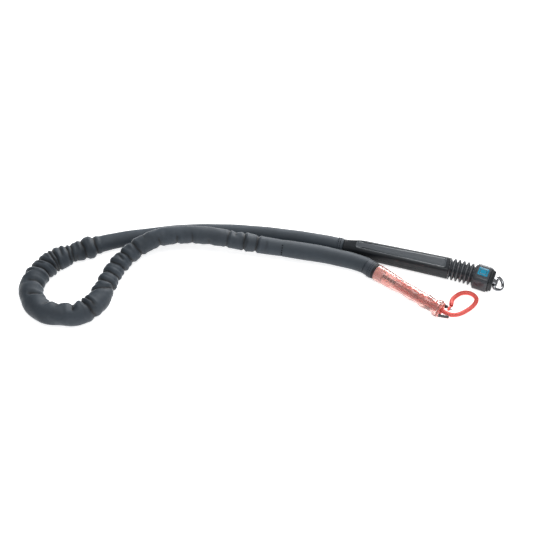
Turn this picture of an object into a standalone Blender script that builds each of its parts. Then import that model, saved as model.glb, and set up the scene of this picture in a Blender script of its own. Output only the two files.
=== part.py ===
"""Sleeved towing lead with a moulded handle, a swivel ring and a push-away release.

The origin is the centre of the head block's flat underside. +X runs along the head's swivel
axis towards the ring, +Z is up, and the part lies on the plane z = 0. Sizes below are in
millimetres, and a mesh is turned to metres when it is made.
"""
import math

import bmesh
import bpy
from mathutils import Matrix, Vector

MM = 0.001
GAP = 0.3                      # clearance that neighbouring solids keep
ROUND = 28                     # sides of a turned piece
SMALL_ROUND = 14               # sides of a screw or pin
CORNER_STEPS = 4               # facets in a rounded corner

# ---------------------------------------------------------------- driving dimensions, mm
# Handle body, measured from the sleeve joint towards the head
BODY_LENGTH = 134.0
BODY_WIDTH_THIN = 17.2         # at the sleeve
BODY_WIDTH_WIDE = 22.6         # at the bellows
BODY_HEIGHT = 21.6
BODY_WALL = 2.2
BODY_TOP_RADIUS = 3.6
BODY_BOTTOM_RADIUS = 6.5
FAIRING_LENGTH = 11.0          # the round end blends into the squarer body
SPLIT_HEIGHT = 10.6            # joint of the two shells above the floor
PANEL_START = 15.5
PANEL_LENGTH = BODY_LENGTH - PANEL_START - 4.5
PANEL_MARGIN = 2.6             # body edge to panel edge
PANEL_THICKNESS = 1.6
PANEL_PROUD = 0.5
PANEL_CORNER = 3.2
SCREW_STATIONS = (0.48 * BODY_LENGTH, BODY_LENGTH - 12.0)
SCREW_INSET = 5.2              # from the body's side
SCREW_SHAFT_RADIUS = 1.25
SCREW_HEAD_RADIUS = 2.3
SCREW_HEAD_HEIGHT = 1.8
SCREW_SOCKET_RADIUS = 1.1
SCREW_SOCKET_DEPTH = 1.0
SCREW_LENGTH = 13.0
SCREW_SEAT_DROP = 3.4          # body top to the seat under a screw head
POST_RADIUS = 2.3              # lower shell's screw post
POST_TOP = 14.2
BOSS_RADIUS = 3.4              # upper shell's screw boss
PIN_RADIUS = 2.0               # anchor pins in body and head
BODY_PIN_STATION = 36.0
EAR_WIDTH = 1.9
EAR_HALF_HEIGHT = 4.0

# Load sling from the body's pin to the head's pin
SLING_WIDTH = 4.0
SLING_THICKNESS = 1.2

# Bellows neck
NECK_LENGTH = 33.0
NECK_YAW = math.radians(7.5)   # bend between body and head as it lies
NECK_WIDTH = 22.6
NECK_HEIGHT = 22.2
NECK_CORNER = 4.6
NECK_RIBS = 5
NECK_RIB_DEPTH = 3.7
NECK_WALL = 1.3
NECK_CREST = 0.5               # half width of a crest or a valley

# Head, measured from its centre along the swivel axis
HEAD_LENGTH = 18.0
HEAD_WIDTH = 27.2
HEAD_HEIGHT = 23.6
HEAD_CORNER = 5.2
HEAD_WALL = 2.6
HEAD_END_WALL = 1.7            # wall towards the neck
HEAD_CHAMFER = 1.0
BADGE_LENGTH = 0.7 * HEAD_LENGTH
BADGE_WIDTH = 0.434 * HEAD_WIDTH
BADGE_THICKNESS = 1.2
BADGE_PROUD = 0.35
CAP_SPIGOT = 3.5               # how far the cap plugs into the block
CAP_STEP_1 = 2.4               # thickness of the wide step
CAP_STEP_2 = 2.9               # thickness of the narrow step
CAP_INSET_1 = 1.3              # wide step's edge inside the block's outline
CAP_INSET_2 = 2.9              # narrow step's edge inside the block's outline
HEAD_PIN_STATION = HEAD_END_WALL + PIN_RADIUS + GAP - HEAD_LENGTH / 2.0

# Swivel and ring
STEM_RADIUS = 2.9
STEM_START = HEAD_PIN_STATION + PIN_RADIUS + SLING_THICKNESS + 0.8
BUSH_WALL = 1.5
BUSH_FLANGE_RADIUS = 6.4
BUSH_FLANGE = 1.0
WASHER_THICKNESS = 0.8
WASHER_RADIUS = 5.6
NUT_ACROSS_FLATS = 10.0
NUT_THICKNESS = 3.4
NOSE_RADIUS = 6.6
NOSE_DISC = 1.6
LUG_WIDTH = 9.6
WIRE_RADIUS = 2.15
WIRE_GAP = 0.25                # ring's bar in its hole
LUG_WALL = 0.7
BOW_RADIUS = 8.9               # centre line of the ring's bow
BOW_REACH = 10.9               # bar to the far side of the bow, centre lines
RING_FILLET = 2.7
RING_DROOP = math.radians(28.0)

# Lead
SLEEVE_REAR_RADIUS = 9.75
SLEEVE_LOOP_RADIUS = 12.0
SLEEVE_LEAN_RADIUS = 10.6
SLEEVE_FRONT_RADIUS = 10.3
LEAD_SPACING = 16.0            # between the points of the plain tubes
LEAD_STUB = 4.0                # straight length at each tube's end
SPIGOT_RADIUS = 6.2
SPIGOT_LENGTH = 15.0           # inside the sleeve
SPIGOT_INSIDE = 14.0           # inside the handle
CUFF_LENGTH = 14.0
BUNGEE_RADIUS = 4.6
BUNGEE_INSIDE = 28.0           # bungee's tail inside the handle

# Release, measured from the cuff's edge along its own axis
RELEASE_START = (-122.5, -42.0)
RELEASE_YAW = math.radians(-14.3)
RELEASE_HEIGHT = 11.0          # axis above the floor
RELEASE_TRAVEL = 12.0
GRIP_LENGTH = 92.4
GRIP_BORE = 6.5
FERRULE_RADIUS = 8.2
FERRULE_INSIDE = 13.0          # inside the cuff
FERRULE_OUTSIDE = 11.0         # inside the collar
COLLAR_LENGTH = 7.0
COLLAR_BORE = FERRULE_RADIUS + 0.7
COLLAR_RADIUS = COLLAR_BORE + 1.7
BORE_TAPER = 3.0               # length over which the wide bore narrows
FLANGE_RADIUS = 10.9
FLANGE_THICKNESS = 5.4
WAVES = ((0.325, 9.4), (0.422, 8.2), (0.552, 8.9), (0.666, 8.2), (0.758, 9.4), (0.887, 8.3))
ROD_RADIUS = 1.8
ROD_END = 0.606 * GRIP_LENGTH
CRIMP_RADIUS = 4.0
CRIMP_LENGTH = 9.0
SPRING_RADIUS = 3.9            # centre line of the coil
SPRING_WIRE = 0.5
SPRING_TURNS = 4
SPRING_SOLID = 2.0 * SPRING_WIRE * (SPRING_TURNS + 1)
COLLAR_DEPTH = FERRULE_OUTSIDE + RELEASE_TRAVEL + BORE_TAPER
LINER_START = FERRULE_OUTSIDE + RELEASE_TRAVEL + SPRING_SOLID + 1.0
LINER_END = GRIP_LENGTH + 1.8
LINER_WALL = 1.0
SHOULDER_THICKNESS = 2.0
TRIGGER_PIN_RADIUS = 0.9
TRIGGER_PIN_OFFSET = 8.0       # from the grip's axis
TRIGGER_PIN_LENGTH = 10.5
MOUTH_RING_RADIUS = 9.6
MOUTH_RING = 2.2
PIN_BOSS_RADIUS = 2.2
PIN_BOSS_LENGTH = 2.6
TONGUE_LENGTH = 13.0
TONGUE_WIDTH = 4.6
TONGUE_THICKNESS = 1.8
TONGUE_TEETH = 3
TONGUE_NOTCH = 0.9             # depth of the gaps between its teeth
TONGUE_YAW = math.radians(26.0)
EYE_RADIUS = 3.2
EYE_BORE = 1.5
EYE_THICKNESS = 3.0
EYE_STATION = GRIP_LENGTH + 8.2
ROPE_RADIUS = 2.75

# Lead's centre line from the handle to the release, chosen by hand
REAR_ROUTE = [
    (-197.0, -22.7, 9.9), (-226.0, -28.1, 9.8), (-254.0, -34.9, 9.8), (-283.0, -43.0, 9.8),
    (-311.0, -52.2, 9.8), (-337.0, -62.3, 9.8), (-362.0, -73.7, 9.8), (-386.0, -86.7, 9.8),
    (-410.0, -102.2, 9.9), (-433.0, -120.2, 10.3), (-454.0, -139.4, 11.6)]
LOOP_ROUTE = [
    (-475.0, -160.0, 12.2), (-492.0, -178.0, 12.2), (-502.5, -197.0, 12.2),
    (-505.0, -216.0, 12.2), (-500.5, -234.0, 12.2), (-488.5, -248.0, 12.2),
    (-471.5, -254.6, 12.2), (-454.0, -252.0, 12.2), (-438.0, -245.5, 12.2),
    (-426.0, -235.0, 12.2), (-420.0, -220.5, 12.2), (-419.0, -203.5, 12.2),
    (-420.8, -186.0, 12.2), (-421.0, -169.0, 12.8), (-418.0, -152.0, 14.6)]
LEAN_ROUTE = [
    (-411.5, -136.0, 17.8), (-402.0, -121.5, 21.6), (-389.0, -108.6, 24.8),
    (-371.0, -97.4, 26.4), (-350.0, -88.2, 26.8), (-328.0, -81.0, 26.4),
    (-304.0, -74.9, 24.8), (-281.0, -69.0, 22.4), (-257.0, -62.2, 19.4)]
FRONT_ROUTE = [
    (-232.0, -54.8, 17.0), (-206.0, -47.8, 15.0), (-189.0, -43.8, 13.8),
    (-172.0, -40.6, 12.6), (-156.0, -38.0, 11.6)]
# Rope loop's centre line from the mouth of the grip back to the trigger pin
ROPE_ROUTE = [
    (-20.0, -66.4, 9.4), (-10.8, -60.0, 6.2), (-3.4, -49.0, 3.8), (2.2, -37.0, 2.9),
    (2.6, -27.2, 2.8), (-3.2, -22.4, 2.8), (-10.4, -22.2, 2.8), (-17.4, -26.0, 2.9),
    (-22.0, -33.2, 3.5), (-24.2, -42.0, 5.2)]

# ---------------------------------------------------------------- finishes
# linear colour, roughness, metallic
SOFT_GREY = ((0.055, 0.068, 0.085), 0.85, 0.0)
BLACK_PLASTIC = ((0.022, 0.022, 0.025), 0.42, 0.0)
PANEL_GREY = ((0.065, 0.075, 0.088), 0.55, 0.0)
RUBBER = ((0.030, 0.032, 0.036), 0.62, 0.0)
TEAL = ((0.0, 0.36, 0.56), 0.45, 0.0)
STEEL = ((0.62, 0.62, 0.64), 0.22, 1.0)
BRONZE = ((0.45, 0.30, 0.14), 0.35, 1.0)
CLEAR_RED = ((0.90, 0.13, 0.11), 0.25, 0.0)
DEEP_RED = ((0.72, 0.05, 0.04), 0.40, 0.0)
ROPE_RED = ((0.70, 0.055, 0.05), 0.80, 0.0)
WEBBING = ((0.04, 0.04, 0.045), 0.90, 0.0)


# ---------------------------------------------------------------- general tools
def clear_scene():
    """Remove whatever the file holds."""
    for item in list(bpy.data.objects):
        bpy.data.objects.remove(item, do_unlink=True)


def material(name, finish):
    """Principled material from a (colour, roughness, metallic) finish."""
    made = bpy.data.materials.new(name)
    made.use_nodes = True
    shader = made.node_tree.nodes["Principled BSDF"]
    colour, roughness, metallic = finish
    shader.inputs["Base Color"].default_value = (*colour, 1.0)
    shader.inputs["Roughness"].default_value = roughness
    shader.inputs["Metallic"].default_value = metallic
    return made


def link(name, data, frame=None):
    """Object for some data, placed on a frame."""
    item = bpy.data.objects.new(name, data)
    bpy.context.collection.objects.link(item)
    item.parent = frame
    return item


def add_node(name, mesh, finish, frame):
    """Named object for one physical piece."""
    mesh.shade_smooth()
    mesh.set_sharp_from_angle(angle=math.radians(35.0))
    mesh.materials.append(material(name + "_finish", finish))
    return link(name, mesh, frame)


def tool_body(name, mesh, frame):
    """Hidden solid that a Boolean works with."""
    item = link(name, mesh, frame)
    item.hide_render = True
    item.display_type = "WIRE"
    return item


def boolean(target, tool, operation="DIFFERENCE"):
    """Cut or join a tool body with an exact Boolean."""
    change = target.modifiers.new(operation.title() + " " + tool.name, "BOOLEAN")
    change.operation = operation
    change.object = tool
    change.solver = "EXACT"


def finished_mesh(name, shape):
    """Mesh in metres from a bmesh drawn in millimetres, with its faces pointing out."""
    bmesh.ops.scale(shape, vec=(MM, MM, MM), verts=shape.verts)
    bmesh.ops.recalc_face_normals(shape, faces=shape.faces)
    mesh = bpy.data.meshes.new(name)
    shape.to_mesh(mesh)
    shape.free()
    return mesh


def loft(name, rings, closed=False):
    """Skin over rings of equal length, capped at both ends or joined end to end."""
    shape = bmesh.new()
    rows = [[shape.verts.new(point) for point in ring] for ring in rings]
    pairs = list(zip(rows, rows[1:]))
    if closed:
        pairs.append((rows[-1], rows[0]))
    count = len(rows[0])
    for first, second in pairs:
        for i in range(count):
            j = (i + 1) % count
            shape.faces.new((first[i], first[j], second[j], second[i]))
    if not closed:
        shape.faces.new(reversed(rows[0]))
        shape.faces.new(rows[-1])
    return finished_mesh(name, shape)


def circle(x, radius, sides=ROUND):
    """Ring of points about the X axis."""
    step = 2.0 * math.pi / sides
    return [Vector((x, radius * math.cos(step * i), radius * math.sin(step * i)))
            for i in range(sides)]


def turned(name, profile, hollow=False, sides=ROUND):
    """Piece turned about X from (x, radius) points; a hollow one closes on itself."""
    return loft(name, [circle(x, radius, sides) for x, radius in profile], closed=hollow)


def sleeve_profile(start, end, outer, inner):
    """Closed (x, radius) outline of a plain sleeve."""
    return [(start, inner), (start, outer), (end, outer), (end, inner)]


def rounded_outline(width, height, radius, base, low_radius=None):
    """Rounded rectangle in (y, z) whose lower edge is at a height."""
    under = radius if low_radius is None else low_radius
    corners = [(1, base + under, under, -90.0), (1, base + height - radius, radius, 0.0),
               (-1, base + height - radius, radius, 90.0), (-1, base + under, under, 180.0)]
    points = []
    for side, centre_z, bend, begin in corners:
        centre_y = side * (width / 2.0 - bend)
        for i in range(CORNER_STEPS + 1):
            angle = math.radians(begin + 90.0 * i / CORNER_STEPS)
            points.append((centre_y + bend * math.cos(angle), centre_z + bend * math.sin(angle)))
    return points


def round_outline(radius, centre_z):
    """Circle in (y, z) with the same points as a rounded rectangle."""
    count = 4 * (CORNER_STEPS + 1)
    angles = [math.radians(-90.0 + 360.0 * (i + 0.5) / count) for i in range(count)]
    return [(radius * math.cos(a), centre_z + radius * math.sin(a)) for a in angles]


def section(x, outline):
    """Ring of points at x from a (y, z) outline."""
    return [Vector((x, y, z)) for y, z in outline]


def block(name, low, high):
    """Box between two corners."""
    outline = [(low[1], low[2]), (high[1], low[2]), (high[1], high[2]), (low[1], high[2])]
    return loft(name, [section(low[0], outline), section(high[0], outline)])


def plate(name, outline, low, high):
    """Flat plate over an (x, y) outline."""
    return loft(name, [[Vector((x, y, z)) for x, y in outline] for z in (low, high)])


def rod_between(name, start, end, radius, sides=SMALL_ROUND):
    """Plain round rod between two points."""
    along = Vector(end) - Vector(start)
    mesh = turned(name, [(0.0, radius), (along.length, radius)], sides=sides)
    turn = Vector((1.0, 0.0, 0.0)).rotation_difference(along.normalized()).to_matrix()
    mesh.transform(Matrix.Translation(Vector(start) * MM) @ turn.to_4x4())
    return mesh


def swept(name, path, radius, sides, closed=False):
    """Round wire along a path, with a frame carried along it."""
    count = len(path)
    rings = []
    side = None
    for i, point in enumerate(path):
        if closed:
            ahead = path[(i + 1) % count] - path[i - 1]
        else:
            ahead = path[min(i + 1, count - 1)] - path[max(i - 1, 0)]
        ahead.normalize()
        if side is None:
            side = ahead.orthogonal().normalized()
        side = (side - ahead * side.dot(ahead)).normalized()
        other = ahead.cross(side)
        step = 2.0 * math.pi / sides
        rings.append([point + (side * math.cos(step * k) + other * math.sin(step * k)) * radius
                      for k in range(sides)])
    return loft(name, rings, closed=closed)


# ---------------------------------------------------------------- routes of lead and rope
def smooth_route(points, spacing):
    """Points about a spacing apart along a smooth curve through the given ones."""
    nodes = [Vector(p) for p in points]
    nodes = [nodes[0] * 2.0 - nodes[1]] + nodes + [nodes[-1] * 2.0 - nodes[-2]]
    fine = []
    for a, b, c, d in zip(nodes, nodes[1:], nodes[2:], nodes[3:]):
        for i in range(12):
            t = i / 12.0
            fine.append(0.5 * (2.0 * b + (c - a) * t + (2.0 * a - 5.0 * b + 4.0 * c - d) * t ** 2
                               + (3.0 * b - a - 3.0 * c + d) * t ** 3))
    fine.append(nodes[-2])
    walked = [0.0]
    for a, b in zip(fine, fine[1:]):
        walked.append(walked[-1] + (b - a).length)
    count = max(2, round(walked[-1] / spacing))
    result = []
    j = 0
    for i in range(count + 1):
        goal = walked[-1] * i / count
        while j < len(walked) - 2 and walked[j + 1] < goal:
            j += 1
        share = (goal - walked[j]) / (walked[j + 1] - walked[j])
        result.append(fine[j].lerp(fine[j + 1], min(1.0, share)))
    return result


def cord_tube(name, points, radius, finish, resolution=3):
    """Plain filled tube along a route, as a bevelled curve."""
    data = bpy.data.curves.new(name, "CURVE")
    data.dimensions = "3D"
    data.bevel_depth = radius * MM
    data.bevel_resolution = resolution
    data.use_fill_caps = True
    data.twist_mode = "MINIMUM"
    line = data.splines.new("POLY")
    line.points.add(len(points) - 1)
    for place, point in zip(line.points, points):
        place.co = (*(point * MM), 1.0)
    data.materials.append(material(name + "_finish", finish))
    return link(name, data)


def nearest_index(points, target):
    """Index of the point of a route nearest to another point."""
    return min(range(len(points)), key=lambda i: (points[i] - Vector(target)).length)


# ---------------------------------------------------------------- frames
def neck_place(point):
    """Bend a point drawn straight: x runs from the sleeve joint through the neck to the head."""
    along, across, up = point
    share = min(1.0, max(0.0, (along - BODY_LENGTH) / NECK_LENGTH))
    heading = NECK_YAW * (1.0 - share)
    arc = NECK_LENGTH / NECK_YAW
    spare = along - BODY_LENGTH - share * NECK_LENGTH
    x = -HEAD_LENGTH / 2.0 - arc * math.sin(heading) + spare * math.cos(heading)
    y = -arc * (1.0 - math.cos(heading)) + spare * math.sin(heading)
    return Vector((x - across * math.sin(heading), y + across * math.cos(heading), up))


def bent(mesh):
    """Move a mesh drawn straight onto the bent neck line."""
    for vertex in mesh.vertices:
        vertex.co = neck_place(vertex.co / MM) * MM
    return mesh


def frame(name, place, yaw=0.0, pitch=0.0, parent=None):
    """Empty at a point in millimetres, turned about Z and then about its own Y."""
    item = link(name, None)
    matrix = Matrix.Translation(Vector(place) * MM)
    matrix = matrix @ Matrix.Rotation(yaw, 4, "Z") @ Matrix.Rotation(pitch, 4, "Y")
    item.parent = parent
    item.matrix_local = matrix
    return item


def release_point(along, across=0.0, up=0.0):
    """Point in the part's frame from one in the release's own frame."""
    x, y = RELEASE_START
    return Vector((x + along * math.cos(RELEASE_YAW) - across * math.sin(RELEASE_YAW),
                   y + along * math.sin(RELEASE_YAW) + across * math.cos(RELEASE_YAW),
                   RELEASE_HEIGHT + up))


# ---------------------------------------------------------------- handle body
def body_width(x):
    """Outer width of the body at a station."""
    return BODY_WIDTH_THIN + (BODY_WIDTH_WIDE - BODY_WIDTH_THIN) * x / BODY_LENGTH


def body_outline(x, inset):
    """Body outline at a station, set in by a wall for the cavity."""
    square = rounded_outline(body_width(x) - 2.0 * inset, BODY_HEIGHT - 2.0 * inset,
                             max(BODY_TOP_RADIUS - inset, 0.8), inset,
                             BODY_BOTTOM_RADIUS - inset)
    round_end = round_outline(SLEEVE_REAR_RADIUS - inset, SLEEVE_REAR_RADIUS)
    share = min(1.0, x / FAIRING_LENGTH)
    share = share * share * (3.0 - 2.0 * share)
    return [((1.0 - share) * a[0] + share * b[0], (1.0 - share) * a[1] + share * b[1])
            for a, b in zip(round_end, square)]


def shell_half(name, body, upper):
    """One moulded half of the handle's tube, cut at the joint line."""
    stations = [0.0, 2.5, 5.5, 8.5, FAIRING_LENGTH, BODY_LENGTH / 2.0, BODY_LENGTH]
    outside = [section(x, body_outline(x, 0.0)) for x in stations]
    inside = [section(x, body_outline(x, BODY_WALL)) for x in reversed(stations)]
    half = add_node(name, loft(name, outside + inside, closed=True), BLACK_PLASTIC, body)
    reach = BODY_WIDTH_WIDE
    low, high = SPLIT_HEIGHT - GAP / 2.0, 2.0 * BODY_HEIGHT
    if upper:
        low, high = -BODY_HEIGHT, SPLIT_HEIGHT + GAP / 2.0
    slab = block(name, (-reach, -reach, low), (BODY_LENGTH + reach, reach, high))
    boolean(half, tool_body(name + "_joint_cutter", slab, body))
    return half


def panel_outline(grow):
    """Tapered panel outline in (x, y) with rounded corners, grown by a clearance."""
    start = PANEL_START - grow
    end = PANEL_START + PANEL_LENGTH + grow
    bend = PANEL_CORNER + grow
    corners = [(end, -1, -90.0), (end, 1, 0.0), (start, 1, 90.0), (start, -1, 180.0)]
    points = []
    for x, side, begin in corners:
        centre_x = x - bend if x == end else x + bend
        centre_y = side * (body_width(x) / 2.0 - PANEL_MARGIN + grow - bend)
        for i in range(CORNER_STEPS + 1):
            angle = math.radians(begin + 90.0 * i / CORNER_STEPS)
            points.append((centre_x + bend * math.cos(angle), centre_y + bend * math.sin(angle)))
    return points


def add_panel(body, upper):
    """Top panel inlay and its pocket in the upper shell."""
    top = BODY_HEIGHT + PANEL_PROUD
    low = top - PANEL_THICKNESS
    pocket = plate("pocket", panel_outline(GAP), low - GAP, top + BODY_WALL)
    boolean(upper, tool_body("panel_pocket_cutter", pocket, body))
    add_node("top_panel", plate("top_panel", panel_outline(0.0), low, top), PANEL_GREY, body)


def shell_screw(name, body, x, y, seat):
    """Pan-head screw that stands head up on its seat."""
    profile = [(SCREW_SOCKET_DEPTH, SCREW_SOCKET_RADIUS), (0.0, SCREW_SOCKET_RADIUS),
               (0.0, SCREW_HEAD_RADIUS), (SCREW_HEAD_HEIGHT, SCREW_HEAD_RADIUS),
               (SCREW_HEAD_HEIGHT, SCREW_SHAFT_RADIUS), (SCREW_LENGTH, SCREW_SHAFT_RADIUS)]
    mesh = turned(name, profile, sides=SMALL_ROUND)
    top = Vector((x, y, seat + GAP + SCREW_HEAD_HEIGHT)) * MM
    mesh.transform(Matrix.Translation(top) @ Matrix.Rotation(math.radians(90.0), 4, "Y"))
    add_node(name, mesh, STEEL, body)


def add_screws(body, upper, lower):
    """Screws under the panel, with the boss and the post that each one joins."""
    seat = BODY_HEIGHT - SCREW_SEAT_DROP
    roof = BODY_HEIGHT - BODY_WALL / 2.0
    tip = seat + GAP + SCREW_HEAD_HEIGHT - SCREW_LENGTH
    places = [(x, side * (body_width(x) / 2.0 - SCREW_INSET))
              for x in SCREW_STATIONS for side in (1.0, -1.0)]
    for number, (x, y) in enumerate(places, start=1):
        boss = rod_between("boss", (x, y, POST_TOP + GAP), (x, y, roof), BOSS_RADIUS)
        boolean(upper, tool_body(f"boss_{number}", boss, body), "UNION")
        post = rod_between("post", (x, y, BODY_WALL / 2.0), (x, y, POST_TOP), POST_RADIUS)
        boolean(lower, tool_body(f"post_{number}", post, body), "UNION")
        bore = SCREW_SHAFT_RADIUS + GAP
        hole = rod_between("hole", (x, y, tip - 1.0), (x, y, 2.0 * BODY_HEIGHT), bore)
        hole = tool_body(f"hole_cutter_{number}", hole, body)
        boolean(upper, hole)
        boolean(lower, hole)
        sunk = rod_between("sunk", (x, y, seat), (x, y, 2.0 * BODY_HEIGHT),
                           SCREW_HEAD_RADIUS + GAP)
        boolean(upper, tool_body(f"seat_cutter_{number}", sunk, body))
        shell_screw(f"shell_screw_{number}", body, x, y, seat)


def add_bungee_anchor(body):
    """Spigot that carries the sleeve, the bungee's tail and its clevis on the body's pin."""
    axis = frame("bungee_axis", (0.0, 0.0, SLEEVE_REAR_RADIUS), parent=body)
    bore = BUNGEE_RADIUS + GAP
    spigot = sleeve_profile(-SPIGOT_LENGTH, SPIGOT_INSIDE, SPIGOT_RADIUS, bore)
    add_node("sleeve_spigot", turned("sleeve_spigot", spigot, hollow=True), BLACK_PLASTIC, axis)
    hem = sleeve_profile(-SPIGOT_LENGTH, -GAP, SLEEVE_REAR_RADIUS, SPIGOT_RADIUS + GAP)
    add_node("rear_hem", turned("rear_hem", hem, hollow=True), SOFT_GREY, axis)
    tail = [(-SPIGOT_LENGTH, BUNGEE_RADIUS), (BUNGEE_INSIDE, BUNGEE_RADIUS)]
    add_node("bungee_tail_rear", turned("bungee_tail_rear", tail), WEBBING, axis)

    cup_start = SPIGOT_INSIDE + GAP
    cup_end = BUNGEE_INSIDE + GAP + 1.4
    cup = [(cup_start, bore), (cup_start, SPIGOT_RADIUS), (cup_end, SPIGOT_RADIUS),
           (cup_end, BUNGEE_RADIUS / 2.0), (BUNGEE_INSIDE + GAP, BUNGEE_RADIUS / 2.0),
           (BUNGEE_INSIDE + GAP, bore)]
    clevis = add_node("bungee_clevis", turned("bungee_clevis", cup, hollow=True), STEEL, axis)
    inner = SLING_WIDTH / 2.0 + GAP
    for number, side in enumerate((1.0, -1.0), start=1):
        edges = sorted((side * inner, side * (inner + EAR_WIDTH)))
        ear = block("ear", (cup_end - 0.8, edges[0], -EAR_HALF_HEIGHT),
                    (BODY_PIN_STATION + EAR_HALF_HEIGHT, edges[1], EAR_HALF_HEIGHT))
        boolean(clevis, tool_body(f"clevis_ear_{number}", ear, axis), "UNION")
    reach = BODY_WIDTH_WIDE
    bore_cut = rod_between("bore", (BODY_PIN_STATION, -reach, 0.0),
                           (BODY_PIN_STATION, reach, 0.0), PIN_RADIUS + GAP)
    boolean(clevis, tool_body("clevis_bore_cutter", bore_cut, axis))
    half = body_width(BODY_PIN_STATION) / 2.0 - BODY_WALL - GAP
    pin = rod_between("body_anchor_pin", (BODY_PIN_STATION, -half, 0.0),
                      (BODY_PIN_STATION, half, 0.0), PIN_RADIUS)
    add_node("body_anchor_pin", pin, STEEL, axis)


# ---------------------------------------------------------------- neck
def add_neck():
    """Ribbed rubber bellows between body and head, open through its middle."""
    start = BODY_LENGTH + GAP
    end = BODY_LENGTH + NECK_LENGTH - GAP
    base = (HEAD_HEIGHT - NECK_HEIGHT) / 2.0
    pitch = (end - start) / (NECK_RIBS + 1)

    def ring(x, inset):
        corner = max(NECK_CORNER - inset, 1.5)
        outline = rounded_outline(NECK_WIDTH - 2.0 * inset, NECK_HEIGHT - 2.0 * inset, corner,
                                  base + inset)
        return section(x, outline)

    outside = [ring(start, 0.0)]
    for i in range(NECK_RIBS + 1):
        crest = start + pitch * i
        valley = crest + pitch / 2.0
        outside.append(ring(crest + NECK_CREST, 0.0))
        outside.append(ring(valley - NECK_CREST, NECK_RIB_DEPTH))
        outside.append(ring(valley + NECK_CREST, NECK_RIB_DEPTH))
        outside.append(ring(crest + pitch - NECK_CREST, 0.0))
    outside.append(ring(end, 0.0))
    bore = NECK_RIB_DEPTH + NECK_WALL
    inside = [ring(end - pitch * i, bore) for i in range(NECK_RIBS + 2)]
    mesh = bent(loft("bellows_neck", outside + inside, closed=True))
    add_node("bellows_neck", mesh, RUBBER, None)


def add_sling():
    """Endless load sling round the body's pin and the head's pin, through the neck."""
    near = Vector((BODY_PIN_STATION, 0.0, SLEEVE_REAR_RADIUS))
    far_station = BODY_LENGTH + NECK_LENGTH + HEAD_LENGTH / 2.0 + HEAD_PIN_STATION
    far = Vector((far_station, 0.0, HEAD_HEIGHT / 2.0))
    tilt = math.atan2(far.z - near.z, far.x - near.x)
    inner = PIN_RADIUS + GAP
    turns = 8
    bends = [BODY_LENGTH + NECK_LENGTH * i / 6.0 for i in range(7)]
    path = []
    for centre, begin in ((near, 90.0), (far, -90.0)):
        for i in range(turns + 1):
            angle = math.radians(begin + 180.0 * i / turns) + tilt
            path.append((centre, Vector((math.cos(angle), 0.0, math.sin(angle)))))
        run = bends if centre is near else list(reversed(bends))
        other = far if centre is near else near
        for x in run:
            share = (x - centre.x) / (other.x - centre.x)
            away = path[-1][1] if x == run[0] else away
            path.append((centre.lerp(other, share), away))
    rings = []
    for centre, away in path:
        close = centre + away * inner
        clear = centre + away * (inner + SLING_THICKNESS)
        side = Vector((0.0, SLING_WIDTH / 2.0, 0.0))
        rings.append([close - side, close + side, clear + side, clear - side])
    add_node("load_sling", bent(loft("load_sling", rings, closed=True)), WEBBING, None)


# ---------------------------------------------------------------- head
def head_outline(inset):
    """Head block's outline, set in."""
    return rounded_outline(HEAD_WIDTH - 2.0 * inset, HEAD_HEIGHT - 2.0 * inset,
                           max(HEAD_CORNER - inset, 1.2), inset)


def add_head_block(head):
    """Hollow block, open to the cap, with a slot for the sling and a pocket for the badge."""
    half = HEAD_LENGTH / 2.0
    middle = HEAD_HEIGHT / 2.0
    slot = rounded_outline(SLING_WIDTH + 1.0, 2.0 * (PIN_RADIUS + SLING_THICKNESS) + 1.8, 0.8,
                           middle - PIN_RADIUS - SLING_THICKNESS - 0.9)
    floor = -half + HEAD_END_WALL
    rings = [section(-half, head_outline(HEAD_CHAMFER)),
             section(-half + HEAD_CHAMFER, head_outline(0.0)),
             section(half - HEAD_CHAMFER, head_outline(0.0)),
             section(half, head_outline(HEAD_CHAMFER)),
             section(half, head_outline(HEAD_WALL)), section(floor, head_outline(HEAD_WALL)),
             section(floor, slot), section(-half, slot)]
    item = add_node("head_block", loft("head_block", rings, closed=True), BLACK_PLASTIC, head)
    top = HEAD_HEIGHT + BADGE_PROUD
    low = top - BADGE_THICKNESS
    x, y = BADGE_LENGTH / 2.0, BADGE_WIDTH / 2.0
    pocket = block("pocket", (-x - GAP, -y - GAP, low - GAP), (x + GAP, y + GAP, top + HEAD_WALL))
    boolean(item, tool_body("badge_pocket_cutter", pocket, head))
    add_node("badge_tile", block("badge_tile", (-x, -y, low), (x, y, top)), TEAL, head)
    reach = HEAD_WIDTH / 2.0 - HEAD_WALL - GAP
    pin = rod_between("head_anchor_pin", (HEAD_PIN_STATION, -reach, middle),
                      (HEAD_PIN_STATION, reach, middle), PIN_RADIUS)
    add_node("head_anchor_pin", pin, STEEL, head)


def cap_stations():
    """Places along X of the cap's spigot end, block face, step and front face."""
    back = HEAD_LENGTH / 2.0 + GAP
    step = back + CAP_STEP_1
    return back - CAP_SPIGOT, back, step, step + CAP_STEP_2


def add_cap(head):
    """Stepped end cap with a recess for the swivel's disc and a bore for its bush."""
    end, back, step, front = cap_stations()
    middle = HEAD_HEIGHT / 2.0
    plug = HEAD_WALL + GAP
    recess = round_outline(NOSE_RADIUS + GAP, middle)
    bore = round_outline(STEM_RADIUS + BUSH_WALL + 2.0 * GAP, middle)
    floor = front - NOSE_DISC
    rings = [section(end, head_outline(plug)), section(back, head_outline(plug)),
             section(back, head_outline(CAP_INSET_1)),
             section(step, head_outline(CAP_INSET_1 + 0.6)),
             section(step, head_outline(CAP_INSET_2)),
             section(front - 0.7, head_outline(CAP_INSET_2 + 0.3)),
             section(front, head_outline(CAP_INSET_2 + 0.9)),
             section(front, recess), section(floor, recess),
             section(floor, bore), section(end, bore)]
    add_node("head_end_cap", loft("head_end_cap", rings, closed=True), BLACK_PLASTIC, head)


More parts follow.
